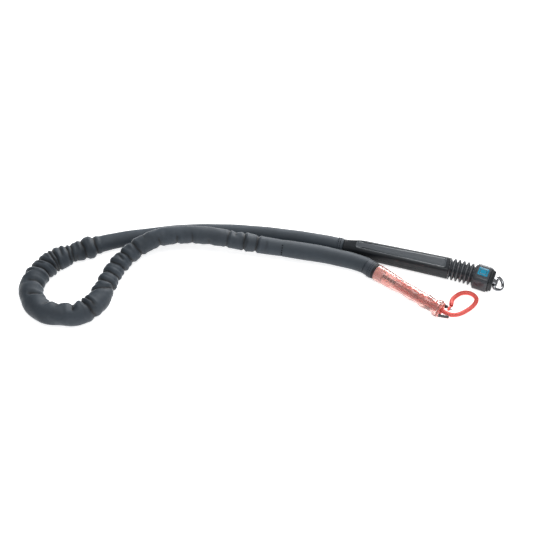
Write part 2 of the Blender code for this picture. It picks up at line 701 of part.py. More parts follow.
def add_swivel(head, swivel):
    """Bush and washer in the head; eye bolt and nut that turn on the swivel axis."""
    end, _, _, front = cap_stations()
    bore = STEM_RADIUS + GAP
    outer = bore + BUSH_WALL
    floor = front - NOSE_DISC
    flange = end - GAP
    bush = [(flange - BUSH_FLANGE, bore), (flange - BUSH_FLANGE, BUSH_FLANGE_RADIUS),
            (flange, BUSH_FLANGE_RADIUS), (flange, outer), (floor - GAP, outer),
            (floor - GAP, bore)]
    axle = frame("bush_axis", (0.0, 0.0, HEAD_HEIGHT / 2.0), parent=head)
    add_node("swivel_bush", turned("swivel_bush", bush, hollow=True), BRONZE, axle)
    washer_end = flange - BUSH_FLANGE - GAP
    washer = sleeve_profile(washer_end - WASHER_THICKNESS, washer_end, WASHER_RADIUS, bore)
    add_node("thrust_washer", turned("thrust_washer", washer, hollow=True), STEEL, axle)

    nut_end = washer_end - WASHER_THICKNESS - GAP
    corner = NUT_ACROSS_FLATS / math.sqrt(3.0)
    hexagon = [circle(x, corner, 6) for x in (nut_end - NUT_THICKNESS, nut_end)]
    nut = add_node("stem_nut", loft("stem_nut", hexagon), STEEL, swivel)
    hole = rod_between("hole", (nut_end - 2.0 * NUT_THICKNESS, 0.0, 0.0),
                       (nut_end + NUT_THICKNESS, 0.0, 0.0), bore)
    boolean(nut, tool_body("nut_bore_cutter", hole, swivel))

    disc = floor + GAP
    shaft = [(STEM_START, STEM_RADIUS), (disc, STEM_RADIUS), (disc, NOSE_RADIUS),
             (disc + NOSE_DISC, NOSE_RADIUS)]
    eye = add_node("swivel_eye", turned("swivel_eye", shaft), STEEL, swivel)
    bar, lug_radius = ring_bar_station(), WIRE_RADIUS + WIRE_GAP + LUG_WALL
    reach = LUG_WIDTH / 2.0
    outline = [(disc + NOSE_DISC / 2.0, -lug_radius)]
    for i in range(9):
        angle = math.radians(-90.0 + 180.0 * i / 8.0)
        outline.append((bar + lug_radius * math.cos(angle), lug_radius * math.sin(angle)))
    outline.append((disc + NOSE_DISC / 2.0, lug_radius))
    lug = loft("lug", [[Vector((x, y, z)) for x, z in outline] for y in (-reach, reach)])
    boolean(eye, tool_body("eye_lug", lug, swivel), "UNION")
    hole = rod_between("hole", (bar, -2.0 * reach, 0.0), (bar, 2.0 * reach, 0.0),
                       WIRE_RADIUS + WIRE_GAP, ROUND)
    boolean(eye, tool_body("eye_bore_cutter", hole, swivel))


def ring_bar_station():
    """Place along X of the ring's straight bar, just clear of the cap's front."""
    return cap_stations()[3] + WIRE_RADIUS + GAP + 0.1


def add_ring(ring):
    """D ring: a straight bar through the lug and a round bow, with filleted corners."""
    centre = BOW_REACH - BOW_RADIUS
    tight = BOW_RADIUS - RING_FILLET
    rise = math.sqrt(tight ** 2 - (RING_FILLET - centre) ** 2)
    swing = math.degrees(math.atan2(rise, RING_FILLET - centre))
    path = []
    for side in (-1.0, 1.0):
        begin, finish = (180.0, swing) if side > 0.0 else (swing, 180.0)
        corner = []
        for i in range(6):
            angle = math.radians(begin + (finish - begin) * i / 5.0)
            corner.append(Vector((RING_FILLET + RING_FILLET * math.cos(angle),
                                  side * (rise + RING_FILLET * math.sin(angle)), 0.0)))
        path += corner
        if side < 0.0:
            path.append(Vector((0.0, 0.0, 0.0)))
    for i in range(1, 16):
        angle = math.radians(swing - 2.0 * swing * i / 16.0)
        path.append(Vector((centre + BOW_RADIUS * math.cos(angle),
                            BOW_RADIUS * math.sin(angle), 0.0)))
    add_node("tow_ring", swept("tow_ring", path, WIRE_RADIUS, 14, closed=True), STEEL, ring)


# ---------------------------------------------------------------- lead
def add_lead():
    """Sleeved lead as plain tubes that meet end to end, from the handle to the cuff."""
    start = neck_place((-SPIGOT_LENGTH - GAP - LEAD_STUB, 0.0, SLEEVE_REAR_RADIUS))
    end = release_point(-CUFF_LENGTH - GAP - LEAD_STUB)
    route = [start] + REAR_ROUTE + LOOP_ROUTE + LEAN_ROUTE + FRONT_ROUTE + [end]
    whole = smooth_route(route, LEAD_SPACING)
    away = [neck_place((-1.0, 0.0, 0.0)) - neck_place((0.0, 0.0, 0.0))]
    joints = [0] + [nearest_index(whole, part[0])
                    for part in (LOOP_ROUTE, LEAN_ROUTE, FRONT_ROUTE)] + [len(whole) - 1]
    away += [(whole[i + 1] - whole[i - 1]).normalized() for i in joints[1:-1]]
    away += [release_point(1.0) - release_point(0.0)]
    runs = (("sleeve_rear", SLEEVE_REAR_RADIUS), ("sleeve_loop", SLEEVE_LOOP_RADIUS),
            ("sleeve_lean", SLEEVE_LEAN_RADIUS), ("sleeve_front", SLEEVE_FRONT_RADIUS))
    for number, (name, radius) in enumerate(runs):
        i, j = joints[number], joints[number + 1]
        head, tail = whole[i], whole[j]
        points = [head + away[number] * GAP, head + away[number] * LEAD_STUB] + whole[i + 1:j]
        points += [tail - away[number + 1] * LEAD_STUB, tail]
        if number == 0:
            points = [head - away[0] * LEAD_STUB] + whole[i:j] + points[-2:]
        if number == len(runs) - 1:
            points = points[:-2] + [tail, tail + away[-1] * LEAD_STUB]
        cord_tube(name, points, radius, SOFT_GREY)


# ---------------------------------------------------------------- release
def add_release_core(core):
    """Ferrule, rod, crimp and return spring that stay with the lead."""
    bore = BUNGEE_RADIUS + GAP
    cuff = sleeve_profile(-CUFF_LENGTH, -GAP, SLEEVE_FRONT_RADIUS, FERRULE_RADIUS + GAP)
    add_node("front_cuff", turned("front_cuff", cuff, hollow=True), SOFT_GREY, core)
    ferrule = [(-FERRULE_INSIDE, bore), (-FERRULE_INSIDE, FERRULE_RADIUS),
               (FERRULE_OUTSIDE, FERRULE_RADIUS), (FERRULE_OUTSIDE, ROD_RADIUS + GAP),
               (0.0, ROD_RADIUS + GAP), (0.0, bore)]
    add_node("front_ferrule", turned("front_ferrule", ferrule, hollow=True), BLACK_PLASTIC, core)
    tail = [(-CUFF_LENGTH, BUNGEE_RADIUS), (-GAP, BUNGEE_RADIUS)]
    add_node("bungee_tail_front", turned("bungee_tail_front", tail), WEBBING, core)
    rod = [(0.0, ROD_RADIUS), (ROD_END, ROD_RADIUS)]
    add_node("release_rod", turned("release_rod", rod, sides=SMALL_ROUND), BLACK_PLASTIC, core)
    crimp_start = ROD_END - CRIMP_LENGTH / 2.0
    crimp = sleeve_profile(crimp_start, crimp_start + CRIMP_LENGTH, CRIMP_RADIUS,
                           ROPE_RADIUS + GAP)
    add_node("rope_crimp", turned("rope_crimp", crimp, hollow=True), BLACK_PLASTIC, core)

    first = FERRULE_OUTSIDE + GAP + SPRING_WIRE
    last = shoulder_start() - GAP - SPRING_WIRE
    steps = SPRING_TURNS * 12
    coil = []
    for i in range(steps + 1):
        angle = 2.0 * math.pi * SPRING_TURNS * i / steps
        coil.append(Vector((first + (last - first) * i / steps, SPRING_RADIUS * math.cos(angle),
                            SPRING_RADIUS * math.sin(angle))))
    add_node("return_spring", swept("return_spring", coil, SPRING_WIRE, 6), STEEL, core)


def shoulder_start():
    """Place along the release of the liner's shoulder, which the spring pushes on."""
    return LINER_START + GAP


def grip_profile():
    """Outer (x, radius) line of the grip: flared collar, waves for the fingers, flange."""
    knots = [(GAP, COLLAR_RADIUS - 0.5), (1.2, COLLAR_RADIUS), (COLLAR_LENGTH, COLLAR_RADIUS - 0.2)]
    waves = [(share * GRIP_LENGTH, radius) for share, radius in WAVES]
    knots.append((COLLAR_LENGTH + 9.0, COLLAR_RADIUS - 0.7))
    for (x, radius), (next_x, next_radius) in zip(waves, waves[1:]):
        for i in range(4):
            share = (1.0 - math.cos(math.pi * i / 4.0)) / 2.0
            knots.append((x + (next_x - x) * i / 4.0, radius + (next_radius - radius) * share))
    flange = GRIP_LENGTH - FLANGE_THICKNESS
    knots += [waves[-1], (flange, FLANGE_RADIUS - 0.8), (flange + 0.8, FLANGE_RADIUS),
              (GRIP_LENGTH - 0.8, FLANGE_RADIUS), (GRIP_LENGTH, FLANGE_RADIUS - 0.6)]
    return knots


def add_grip(slider):
    """Grip, liner and mouth pieces that slide on the release's axis."""
    inside = [(GRIP_LENGTH, GRIP_BORE), (COLLAR_DEPTH, GRIP_BORE),
              (COLLAR_DEPTH - BORE_TAPER, COLLAR_BORE), (GAP, COLLAR_BORE)]
    grip = turned("grip_sleeve", grip_profile() + inside, hollow=True)
    add_node("grip_sleeve", grip, CLEAR_RED, slider)

    liner = GRIP_BORE - GAP
    bore = liner - LINER_WALL
    neck = ROD_RADIUS + 2.0 * GAP
    start = shoulder_start()
    tube = [(start, neck), (start, liner), (LINER_END, liner), (LINER_END, bore),
            (start + SHOULDER_THICKNESS, bore), (start + SHOULDER_THICKNESS, neck)]
    add_node("liner_tube", turned("liner_tube", tube, hollow=True), DEEP_RED, slider)

    ring_start = GRIP_LENGTH + GAP
    ring_end = ring_start + MOUTH_RING
    mouth = sleeve_profile(ring_start, ring_end, MOUTH_RING_RADIUS, liner + GAP)
    item = add_node("mouth_ring", turned("mouth_ring", mouth, hollow=True), DEEP_RED, slider)
    offset = TRIGGER_PIN_OFFSET
    seat = rod_between("seat", (ring_start + MOUTH_RING / 2.0, offset, 0.0),
                       (ring_end + 5.0, offset, 0.0), TRIGGER_PIN_RADIUS + GAP)
    boolean(item, tool_body("pin_seat_cutter", seat, slider))

    boss_start = ring_end + GAP
    boss = sleeve_profile(boss_start, boss_start + PIN_BOSS_LENGTH, PIN_BOSS_RADIUS,
                          TRIGGER_PIN_RADIUS + GAP)
    mesh = turned("pin_boss", boss, hollow=True, sides=SMALL_ROUND)
    mesh.transform(Matrix.Translation(Vector((0.0, offset, 0.0)) * MM))
    add_node("pin_boss", mesh, BLACK_PLASTIC, slider)
    pin_start = ring_start + MOUTH_RING / 2.0 + GAP
    pin = rod_between("trigger_pin", (pin_start, offset, 0.0),
                      (pin_start + TRIGGER_PIN_LENGTH, offset, 0.0), TRIGGER_PIN_RADIUS)
    add_node("trigger_pin", pin, STEEL, slider)
    add_tongue(slider, boss_start)


def add_tongue(slider, start):
    """Toothed black tongue that guides the rope out of the mouth, turned in towards it."""
    pitch = TONGUE_LENGTH / TONGUE_TEETH
    top = TONGUE_THICKNESS
    outline = [(0.0, top)]
    for i in range(TONGUE_TEETH):
        tooth = pitch * i
        outline += [(tooth + 0.55 * pitch, top), (tooth + 0.7 * pitch, top - TONGUE_NOTCH)]
        outline += [(tooth + 0.95 * pitch, top - TONGUE_NOTCH)]
    outline += [(TONGUE_LENGTH, 0.0), (0.0, 0.0)]
    half = TONGUE_WIDTH / 2.0
    mesh = loft("toothed_tongue", [[Vector((x, y, z)) for x, y in outline] for z in (-half, half)])
    root = Vector((start + top * math.sin(TONGUE_YAW), -MOUTH_RING_RADIUS, 0.0)) * MM
    mesh.transform(Matrix.Translation(root) @ Matrix.Rotation(TONGUE_YAW, 4, "Z"))
    add_node("toothed_tongue", mesh, BLACK_PLASTIC, slider)


def add_rope(core):
    """Rope from the crimp out of the mouth, round its loop and back to the eye on the pin."""
    eye = sleeve_profile(EYE_STATION - EYE_THICKNESS / 2.0, EYE_STATION + EYE_THICKNESS / 2.0,
                         EYE_RADIUS, EYE_BORE)
    mesh = turned("loop_eye", eye, hollow=True, sides=SMALL_ROUND)
    mesh.transform(Matrix.Translation(Vector((0.0, TRIGGER_PIN_OFFSET, 0.0)) * MM))
    add_node("loop_eye", mesh, ROPE_RED, core)
    inside = [release_point(ROD_END + GAP + (LINER_END - ROD_END - GAP) * i / 3.0)
              for i in range(4)]
    tip = release_point(EYE_STATION, TRIGGER_PIN_OFFSET + EYE_RADIUS + ROPE_RADIUS / 2.0)
    route = inside + [Vector(p) for p in ROPE_ROUTE] + [tip]
    cord_tube("rope_loop", smooth_route(route, 5.0), ROPE_RADIUS, ROPE_RED, resolution=2)


# ---------------------------------------------------------------- the whole part
def build():
    """Make every piece on its frame."""
    clear_scene()
    thin_end = neck_place((0.0, 0.0, 0.0))
    pivot = neck_place((BODY_LENGTH + NECK_LENGTH / 2.0, 0.0, HEAD_HEIGHT / 2.0))
    axis_height = HEAD_HEIGHT / 2.0
    body = frame("body_frame", thin_end, yaw=NECK_YAW)
    neck_joint = frame("neck_joint", pivot)
    head = frame("head_frame", -pivot, parent=neck_joint)
    swivel = frame("swivel_joint", (0.0, 0.0, axis_height), parent=head)
    ring = frame("ring_joint", (ring_bar_station(), 0.0, 0.0), pitch=RING_DROOP, parent=swivel)
    core = frame("release_frame", release_point(0.0), yaw=RELEASE_YAW)
    slider = frame("release_slider", (0.0, 0.0, 0.0), parent=core)

    upper = shell_half("handle_shell_upper", body, True)
    lower = shell_half("handle_shell_lower", body, False)
    add_panel(body, upper)
    add_screws(body, upper, lower)
    add_bungee_anchor(body)
    add_neck()
    add_sling()
    add_head_block(head)
    add_cap(head)
    add_swivel(head, swivel)
    add_ring(ring)
    add_lead()
    add_release_core(core)
    add_grip(slider)
    add_rope(core)


build()
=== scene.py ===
"""Looks of a sleeved towing lead: moulded handle, bellows neck, swivel ring and slide release.

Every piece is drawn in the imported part's own frame: metres, +Z up, floor at z = 0. The sizes
that the classes hold are millimetres, as on a drawing, and MM turns them to metres.
"""
import logging
import math
from collections.abc import Sequence
from dataclasses import dataclass, field
from enum import Enum

import bpy
import numpy as np
from mathutils import Matrix, Vector


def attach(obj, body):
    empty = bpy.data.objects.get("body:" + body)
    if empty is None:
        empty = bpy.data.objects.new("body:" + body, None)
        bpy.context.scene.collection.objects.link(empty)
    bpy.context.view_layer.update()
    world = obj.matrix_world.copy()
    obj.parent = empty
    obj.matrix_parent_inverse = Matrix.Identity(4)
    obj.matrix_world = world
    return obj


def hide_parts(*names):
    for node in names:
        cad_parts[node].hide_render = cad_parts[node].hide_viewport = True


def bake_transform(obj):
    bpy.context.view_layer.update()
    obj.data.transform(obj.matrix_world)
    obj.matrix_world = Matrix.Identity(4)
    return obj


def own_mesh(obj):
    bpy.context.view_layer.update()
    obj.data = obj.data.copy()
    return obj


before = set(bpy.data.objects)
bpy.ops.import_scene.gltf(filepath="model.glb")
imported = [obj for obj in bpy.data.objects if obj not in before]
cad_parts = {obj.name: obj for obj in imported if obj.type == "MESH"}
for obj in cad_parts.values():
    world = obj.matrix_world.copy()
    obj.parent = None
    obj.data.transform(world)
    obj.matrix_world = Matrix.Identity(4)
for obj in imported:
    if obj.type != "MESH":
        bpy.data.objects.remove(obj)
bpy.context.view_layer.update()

MM = 0.001
LOG = logging.getLogger("towing_lead")


# ------------------------------------------------------------------------------ small tools
def linear(hex_colour: str) -> tuple[float, float, float, float]:
    """Turn an sRGB hex colour into a linear one.

    Args:
        hex_colour: Six hex digits with a leading #.

    Returns:
        Linear red, green and blue, with alpha 1.
    """
    parts = [int(hex_colour[i:i + 2], 16) / 255.0 for i in (1, 3, 5)]
    red, green, blue = [p / 12.92 if p <= 0.04045 else ((p + 0.055) / 1.055) ** 2.4
                        for p in parts]
    return red, green, blue, 1.0


def add_node(tree: bpy.types.NodeTree, kind: str, settings: dict | None = None,
             links: dict | None = None) -> bpy.types.Node:
    """Add one shader node.

    Args:
        tree: Node tree that gets the node.
        kind: Blender's name of the node type.
        settings: Node properties, or input sockets by name or number, and their values.
        links: Input sockets by name or number, and the output socket that feeds each.

    Returns:
        The new node.
    """
    node = tree.nodes.new(kind)
    for name, value in (settings or {}).items():
        if isinstance(name, str) and name in node.bl_rna.properties:
            setattr(node, name, value)
        else:
            node.inputs[name].default_value = value
    for name, source in (links or {}).items():
        tree.links.new(source, node.inputs[name])
    return node


def per_metre(size_mm: float) -> float:
    """Scale of a noise texture whose features are a size in millimetres."""
    return 1.0 / (size_mm * MM)


def bands(period_mm: float) -> float:
    """Scale of a wave texture whose bands repeat every so many millimetres."""
    return 2.0 * math.pi / (20.0 * period_mm * MM)


def smooth_step(low: float, high: float, value: np.ndarray) -> np.ndarray:
    """Ease from 0 at low to 1 at high."""
    share = np.clip((value - low) / (high - low), 0.0, 1.0)
    return share * share * (3.0 - 2.0 * share)


def unit(vectors: np.ndarray) -> np.ndarray:
    """Vectors scaled to length 1."""
    return vectors / np.linalg.norm(vectors, axis=-1, keepdims=True)


def wander(along: np.ndarray, around: np.ndarray, sizes: Sequence[float],
           seed: int) -> np.ndarray:
    """Smooth irregular relief over a tube, periodic round it, between about -1 and 1.

    Args:
        along: Distances along the tube in mm, one per row.
        around: Angles round the tube, one per column.
        sizes: Wavelengths along the tube in mm.
        seed: Picks the phases.

    Returns:
        One height for each row and column.
    """
    chance = np.random.default_rng(seed)
    total = np.zeros((len(along), len(around)))
    for size in sizes:
        for turns in (1, 2, 3):
            phase = chance.uniform(0.0, 2.0 * math.pi, 3)
            stretch = chance.uniform(0.8, 1.25)
            total += (np.sin(2.0 * math.pi * along[:, None] / (size * stretch) + phase[0]
                             + 0.8 * np.sin(turns * around[None, :] + phase[1]))
                      * np.cos(turns * around[None, :] + phase[2]))
    return total / (1.5 * len(sizes))


def skin(name: str, rings: np.ndarray, looped: bool = False,
         lay: tuple[np.ndarray, float] | None = None,
         fold: np.ndarray | None = None) -> bpy.types.Mesh:
    """Make a mesh over rings of points.

    Args:
        name: Name of the mesh.
        rings: Points in mm, indexed by ring, by place round the ring and by axis.
        looped: Join the last ring to the first, instead of closing both ends.
        lay: Distance along the piece for each ring and the distance round it, in mm, kept
            as the corner attribute "lay" that cloth patterns follow.
        fold: How much painted shade each point gets down in a fold or gap, 0 to 1, kept as the
            attribute "fold".

    Returns:
        The mesh, in metres, faces out where rings run anticlockwise about their travel.
    """
    count, sides = rings.shape[:2]
    points = rings.reshape(-1, 3) * MM
    rows = np.arange(count if looped else count - 1)
    columns = np.arange(sides)
    first = (rows[:, None] * sides + columns[None, :]).ravel()
    right = (rows[:, None] * sides + (columns[None, :] + 1) % sides).ravel()
    step = ((rows + 1) % count)[:, None] * sides
    above = (step + (columns[None, :] + 1) % sides).ravel()
    beside = (step + columns[None, :]).ravel()
    faces = np.stack([first, right, above, beside], axis=1).tolist()
    if not looped:
        faces.append(list(range(sides))[::-1])
        faces.append([(count - 1) * sides + k for k in range(sides)])
    mesh = bpy.data.meshes.new(name)
    mesh.from_pydata(points.tolist(), [], faces)
    mesh.shade_smooth()
    if lay is not None:
        along, around = lay
        first_s = np.repeat(along[:-1], sides)
        next_s = np.repeat(along[1:], sides)
        here = np.tile(columns / sides * around, count - 1)
        there = np.tile((columns + 1) / sides * around, count - 1)
        values = np.zeros((len(mesh.loops), 3))
        quads = np.stack([np.stack([first_s, here], 1), np.stack([first_s, there], 1),
                          np.stack([next_s, there], 1), np.stack([next_s, here], 1)], axis=1)
        values[:quads.shape[0] * 4, :2] = quads.reshape(-1, 2) * MM
        mesh.attributes.new("lay", "FLOAT_VECTOR", "CORNER").data.foreach_set(
            "vector", values.ravel())
    # The fold attribute tells the finish how much painted shade each point gets.
    if fold is not None:
        mesh.attributes.new("fold", "FLOAT", "POINT").data.foreach_set("value", fold.ravel())
    return mesh


def turned(name: str, profile: Sequence[tuple[float, float]], hollow: bool = False,
           sides: int = 64) -> bpy.types.Mesh:
    """Turn a profile about the X axis.

    Args:
        name: Name of the mesh.
        profile: Places along X and radii in mm. A hollow one runs out along the outside
            and back along the bore.
        hollow: Close the profile on itself.
        sides: Facets round the axis.

    Returns:
        The mesh.
    """
    angles = 2.0 * math.pi * np.arange(sides) / sides
    rings = np.array([[(x, radius * math.cos(a), radius * math.sin(a)) for a in angles]
                      for x, radius in profile])
    return skin(name, rings, looped=hollow)


def softened(profile: Sequence[tuple[float, float]], edge: float) -> list[tuple[float, float]]:
    """Closed profile with each corner cut by a small radius.

    Args:
        profile: Closed outline of a turned piece, in mm.
        edge: Radius that each corner gets, in mm.

    Returns:
        Outline with four points for each corner.
    """
    rounded = []
    count = len(profile)
    for i, corner in enumerate(profile):
        here = Vector(corner)
        before = Vector(profile[i - 1]) - here
        after = Vector(profile[(i + 1) % count]) - here
        cut = min(edge, 0.4 * before.length, 0.4 * after.length)
        start = here + before.normalized() * cut
        end = here + after.normalized() * cut
        for share in (0.0, 0.33, 0.67, 1.0):
            near = start.lerp(here, share)
            far = here.lerp(end, share)
            rounded.append(tuple(near.lerp(far, share)))
    return rounded


def joined(name: str, meshes: Sequence[bpy.types.Mesh]) -> bpy.types.Mesh:
    """One mesh from several closed ones."""
    points: list[tuple[float, float, float]] = []
    faces: list[list[int]] = []
    for mesh in meshes:
        start = len(points)
        points += [tuple(v.co) for v in mesh.vertices]
        faces += [[start + i for i in p.vertices] for p in mesh.polygons]
        bpy.data.meshes.remove(mesh)
    whole = bpy.data.meshes.new(name)
    whole.from_pydata(points, [], faces)
    whole.shade_smooth()
    return whole


def smooth_route(points: Sequence[Sequence[float]], spacing: float) -> np.ndarray:
    """Even points along a smooth curve through the given ones.

    Args:
        points: Places that the curve passes, in mm.
        spacing: Distance between the points that come back, in mm.

    Returns:
        The points, in mm.
    """
    nodes = [np.array(p, dtype=float) for p in points]
    nodes = [2.0 * nodes[0] - nodes[1]] + nodes + [2.0 * nodes[-1] - nodes[-2]]
    fine = []
    for a, b, c, d in zip(nodes, nodes[1:], nodes[2:], nodes[3:]):
        for t in np.arange(24) / 24.0:
            fine.append(0.5 * (2.0 * b + (c - a) * t + (2.0 * a - 5.0 * b + 4.0 * c - d) * t ** 2
                               + (3.0 * b - a - 3.0 * c + d) * t ** 3))
    fine.append(nodes[-2])
    curve = np.array(fine)
    walked = np.concatenate([[0.0], np.cumsum(np.linalg.norm(np.diff(curve, axis=0), axis=1))])
    goals = np.linspace(0.0, walked[-1], round(walked[-1] / spacing) + 1)
    return np.stack([np.interp(goals, walked, curve[:, k]) for k in range(3)], axis=1)


def walked_mm(points: np.ndarray) -> np.ndarray:
    """Distance along a route at each of its points."""
    steps = np.linalg.norm(np.diff(points, axis=0), axis=1)
    return np.concatenate([[0.0], np.cumsum(steps)])


def tube_rings(points: np.ndarray, radii: np.ndarray, facing: Sequence[float]) -> np.ndarray:
    """Rings of a tube along a route.

    Args:
        points: Route in mm.
        radii: Radius for each ring and each place round it, in mm.
        facing: Direction that a quarter turn round each ring points towards.

    Returns:
        Ring points. Place 0 is the underside, and they run anticlockwise about the route.
    """
    travel = unit(np.gradient(points, axis=0))
    side = unit(np.cross(np.array(facing, dtype=float), travel))
    up = np.cross(travel, side)
    angles = tube_angles(radii.shape[1])
    spokes = (side[:, None, :] * np.cos(angles)[None, :, None]
              + up[:, None, :] * np.sin(angles)[None, :, None])
    return points[:, None, :] + radii[..., None] * spokes


def tube_angles(sides: int) -> np.ndarray:
    """Angles round a tube's ring, the first one at its underside."""
    return -math.pi / 2.0 + 2.0 * math.pi * np.arange(sides) / sides


def stitch_mesh(name: str, seats: Sequence[tuple[Vector, Vector, Vector]], length: float,
                width: float) -> bpy.types.Mesh:
    """Rows of thread stitches.

    Args:
        name: Name of the mesh.
        seats: Middle of each stitch in mm, the way its thread runs and the way out of the
            cloth.
        length: Length of a stitch, in mm.
        width: Thickness of the thread, in mm.

    Returns:
        One mesh with a plump closed stitch at each seat.
    """
    points = []
    faces = []
    sides = 6
    shares = (-0.5, -0.32, 0.0, 0.32, 0.5)
    swell = (0.35, 0.85, 1.0, 0.85, 0.35)
    for middle, run, out in seats:
        across = run.cross(out).normalized()
        start = len(points)
        for share, fat in zip(shares, swell):
            lift = out * (width * 0.25 * (1.0 - (2.0 * share) ** 2))
            for k in range(sides):
                angle = 2.0 * math.pi * k / sides
                offset = (across * math.cos(angle) + out * math.sin(angle)) * (width * fat / 2.0)
                points.append(tuple((middle + run * (share * length) + lift + offset) * MM))
        for i in range(len(shares) - 1):
            for k in range(sides):
                a, b = start + i * sides + k, start + i * sides + (k + 1) % sides
                faces.append([a, a + sides, b + sides, b])
        faces.append([start + k for k in range(sides)])
        last = start + (len(shares) - 1) * sides
        faces.append([last + k for k in range(sides)][::-1])
    mesh = bpy.data.meshes.new(name)
    mesh.from_pydata(points, [], faces)
    mesh.shade_smooth()
    return mesh


# --------------------------------------------------------------------------------- finishes
class Pattern(Enum):
    """What a surface's small relief is made of."""

    GRAIN = "spark-eroded mould grain"
    KNIT = "two-way stretch knit"
    BRAID = "filament bundles of a braid"
    POLISH = "polishing hairlines"
    WEB = "plain woven webbing"


@dataclass(frozen=True)
class Finish:
    """One real-world finish.

    Colours are sRGB hex. The pattern's size and depth and the patches' size are real
    millimetres.
    """

    name: str
    colour: str
    shade: str
    roughness: float
    pattern: Pattern = Pattern.GRAIN
    pattern_mm: float = 0.5
    relief_mm: float = 0.02
    patch_mm: float = 25.0
    rough_swing: float = 0.06
    metallic: float = 0.0
    ior: float = 1.5
    sheen: float = 0.0
    sheen_colour: str = "#ffffff"
    coat: float = 0.0
    transmission: float = 0.0
    subsurface: float = 0.0
    specular: float = 0.5           # lower where a matt bloom breaks up the plain reflection
    glow: float = 0.0
    # Painted shade: a darker colour laid into folds and gaps, standing in for the light that
    # doesn't reach them.
    painted_shade: str | None = None         # colour down in the folds, where little light comes out

    def material(self) -> bpy.types.Material:
        """Node material of this finish, made once and then shared."""
        known = bpy.data.materials.get(self.name)
        if known is not None:
            return known
        made = bpy.data.materials.new(self.name)
        made.use_nodes = True
        tree = made.node_tree
        shader = tree.nodes["Principled BSDF"]
        shader.inputs["IOR"].default_value = self.ior
        shader.inputs["Metallic"].default_value = self.metallic
        shader.inputs["Coat Weight"].default_value = self.coat
        shader.inputs["Coat Roughness"].default_value = 0.15
        shader.inputs["Sheen Weight"].default_value = self.sheen
        shader.inputs["Sheen Roughness"].default_value = 0.25
        shader.inputs["Sheen Tint"].default_value = linear(self.sheen_colour)
        shader.inputs["Transmission Weight"].default_value = self.transmission
        shader.inputs["Subsurface Weight"].default_value = self.subsurface
        shader.inputs["Specular IOR Level"].default_value = self.specular
        shader.inputs["Emission Color"].default_value = linear(self.colour)
        shader.inputs["Emission Strength"].default_value = self.glow
        shader.inputs["Subsurface Scale"].default_value = 4.0 * MM
        place = add_node(tree, "ShaderNodeTexCoord").outputs["Object"]
        patches = add_node(tree, "ShaderNodeTexNoise",
                           {"Scale": per_metre(self.patch_mm), "Detail": 4.0, "Roughness": 0.6},
                           {"Vector": place}).outputs["Fac"]
        share = add_node(tree, "ShaderNodeMapRange", {"From Min": 0.35, "From Max": 0.65},
                         {"Value": patches}).outputs["Result"]
        mixed = add_node(tree, "ShaderNodeMix",
                         {"data_type": "RGBA", 6: linear(self.colour), 7: linear(self.shade)},
                         {0: share}).outputs[2]
        # Painted shade: where the fold attribute is high, the colour turns towards the painted
        # shade colour.
        if self.painted_shade is not None:
            fold = add_node(tree, "ShaderNodeAttribute",
                            {"attribute_name": "fold"}).outputs["Fac"]
            mixed = add_node(tree, "ShaderNodeMix", {"data_type": "RGBA", 7: linear(self.painted_shade)},
                             {0: fold, 6: mixed}).outputs[2]
        tree.links.new(mixed, shader.inputs["Base Color"])
        rough = add_node(tree, "ShaderNodeMapRange",
                         {"To Min": max(0.02, self.roughness - self.rough_swing),
                          "To Max": min(1.0, self.roughness + self.rough_swing)},
                         {"Value": patches}).outputs["Result"]
        tree.links.new(rough, shader.inputs["Roughness"])
        height = self.height(tree, place)
        bump = add_node(tree, "ShaderNodeBump", {"Distance": self.relief_mm * MM,
                                                 "Strength": 1.0}, {"Height": height})
        tree.links.new(bump.outputs["Normal"], shader.inputs["Normal"])
        return made

    def height(self, tree: bpy.types.NodeTree,
               place: bpy.types.NodeSocket) -> bpy.types.NodeSocket:
        """Relief of this finish's pattern.

        Args:
            tree: Node tree that gets the nodes.
            place: Object coordinates in metres.

        Returns:
            Output socket with a height between about 0 and 1.
        """
        if self.pattern in (Pattern.KNIT, Pattern.WEB):
            lay = add_node(tree, "ShaderNodeAttribute",
                           {"attribute_name": "lay"}).outputs["Vector"]
            scale = bands(self.pattern_mm)
            wales = add_node(tree, "ShaderNodeTexWave",
                             {"bands_direction": "Y", "Scale": scale, "Distortion": 0.4,
                              "Detail": 1.0}, {"Vector": lay}).outputs["Fac"]
            courses = add_node(tree, "ShaderNodeTexWave",
                               {"bands_direction": "X", "Scale": scale * 0.8,
                                "Distortion": 0.4, "Detail": 1.0}, {"Vector": lay}).outputs["Fac"]
            return add_node(tree, "ShaderNodeMath", {"operation": "MULTIPLY"},
                            {0: wales, 1: courses}).outputs["Value"]
        if self.pattern is Pattern.POLISH:
            stretched = add_node(tree, "ShaderNodeMapping", {"Scale": (1.0, 12.0, 1.0)},
                                 {"Vector": place}).outputs["Vector"]
            return add_node(tree, "ShaderNodeTexNoise",
                            {"Scale": per_metre(self.pattern_mm), "Detail": 2.0},
                            {"Vector": stretched}).outputs["Fac"]
        return add_node(tree, "ShaderNodeTexNoise",
                        {"Scale": per_metre(self.pattern_mm), "Detail": 3.0, "Roughness": 0.6},
                        {"Vector": place}).outputs["Fac"]


# Polyester-elastane knit, dull but with a soft light edge where it turns away, and with painted
# shade down in its folds. The knit is 0.5 mm in reality and drawn at 1.2 mm so that it shows.
SLEEVE_KNIT = Finish("sleeve_stretch_knit", "#333c45", "#2c343c", 0.66, Pattern.KNIT, 1.2, 0.05,
                     28.0, 0.05, sheen=1.0, sheen_colour="#e6ebf0", painted_shade="#08090b")
# The same knit pressed double at the cuffs, which takes the light a little more.
HEM_KNIT = Finish("hem_stretch_knit", "#343b44", "#2c323a", 0.64, Pattern.KNIT, 1.2, 0.05,
                  18.0, 0.05, sheen=1.0, sheen_colour="#e6ebf0")
# Woven elastic edging, blacker and flatter than the knit.
EDGE_ELASTIC = Finish("cuff_woven_elastic", "#17191d", "#111316", 0.7, Pattern.WEB, 0.9, 0.05,
                      12.0, 0.04, sheen=0.1)
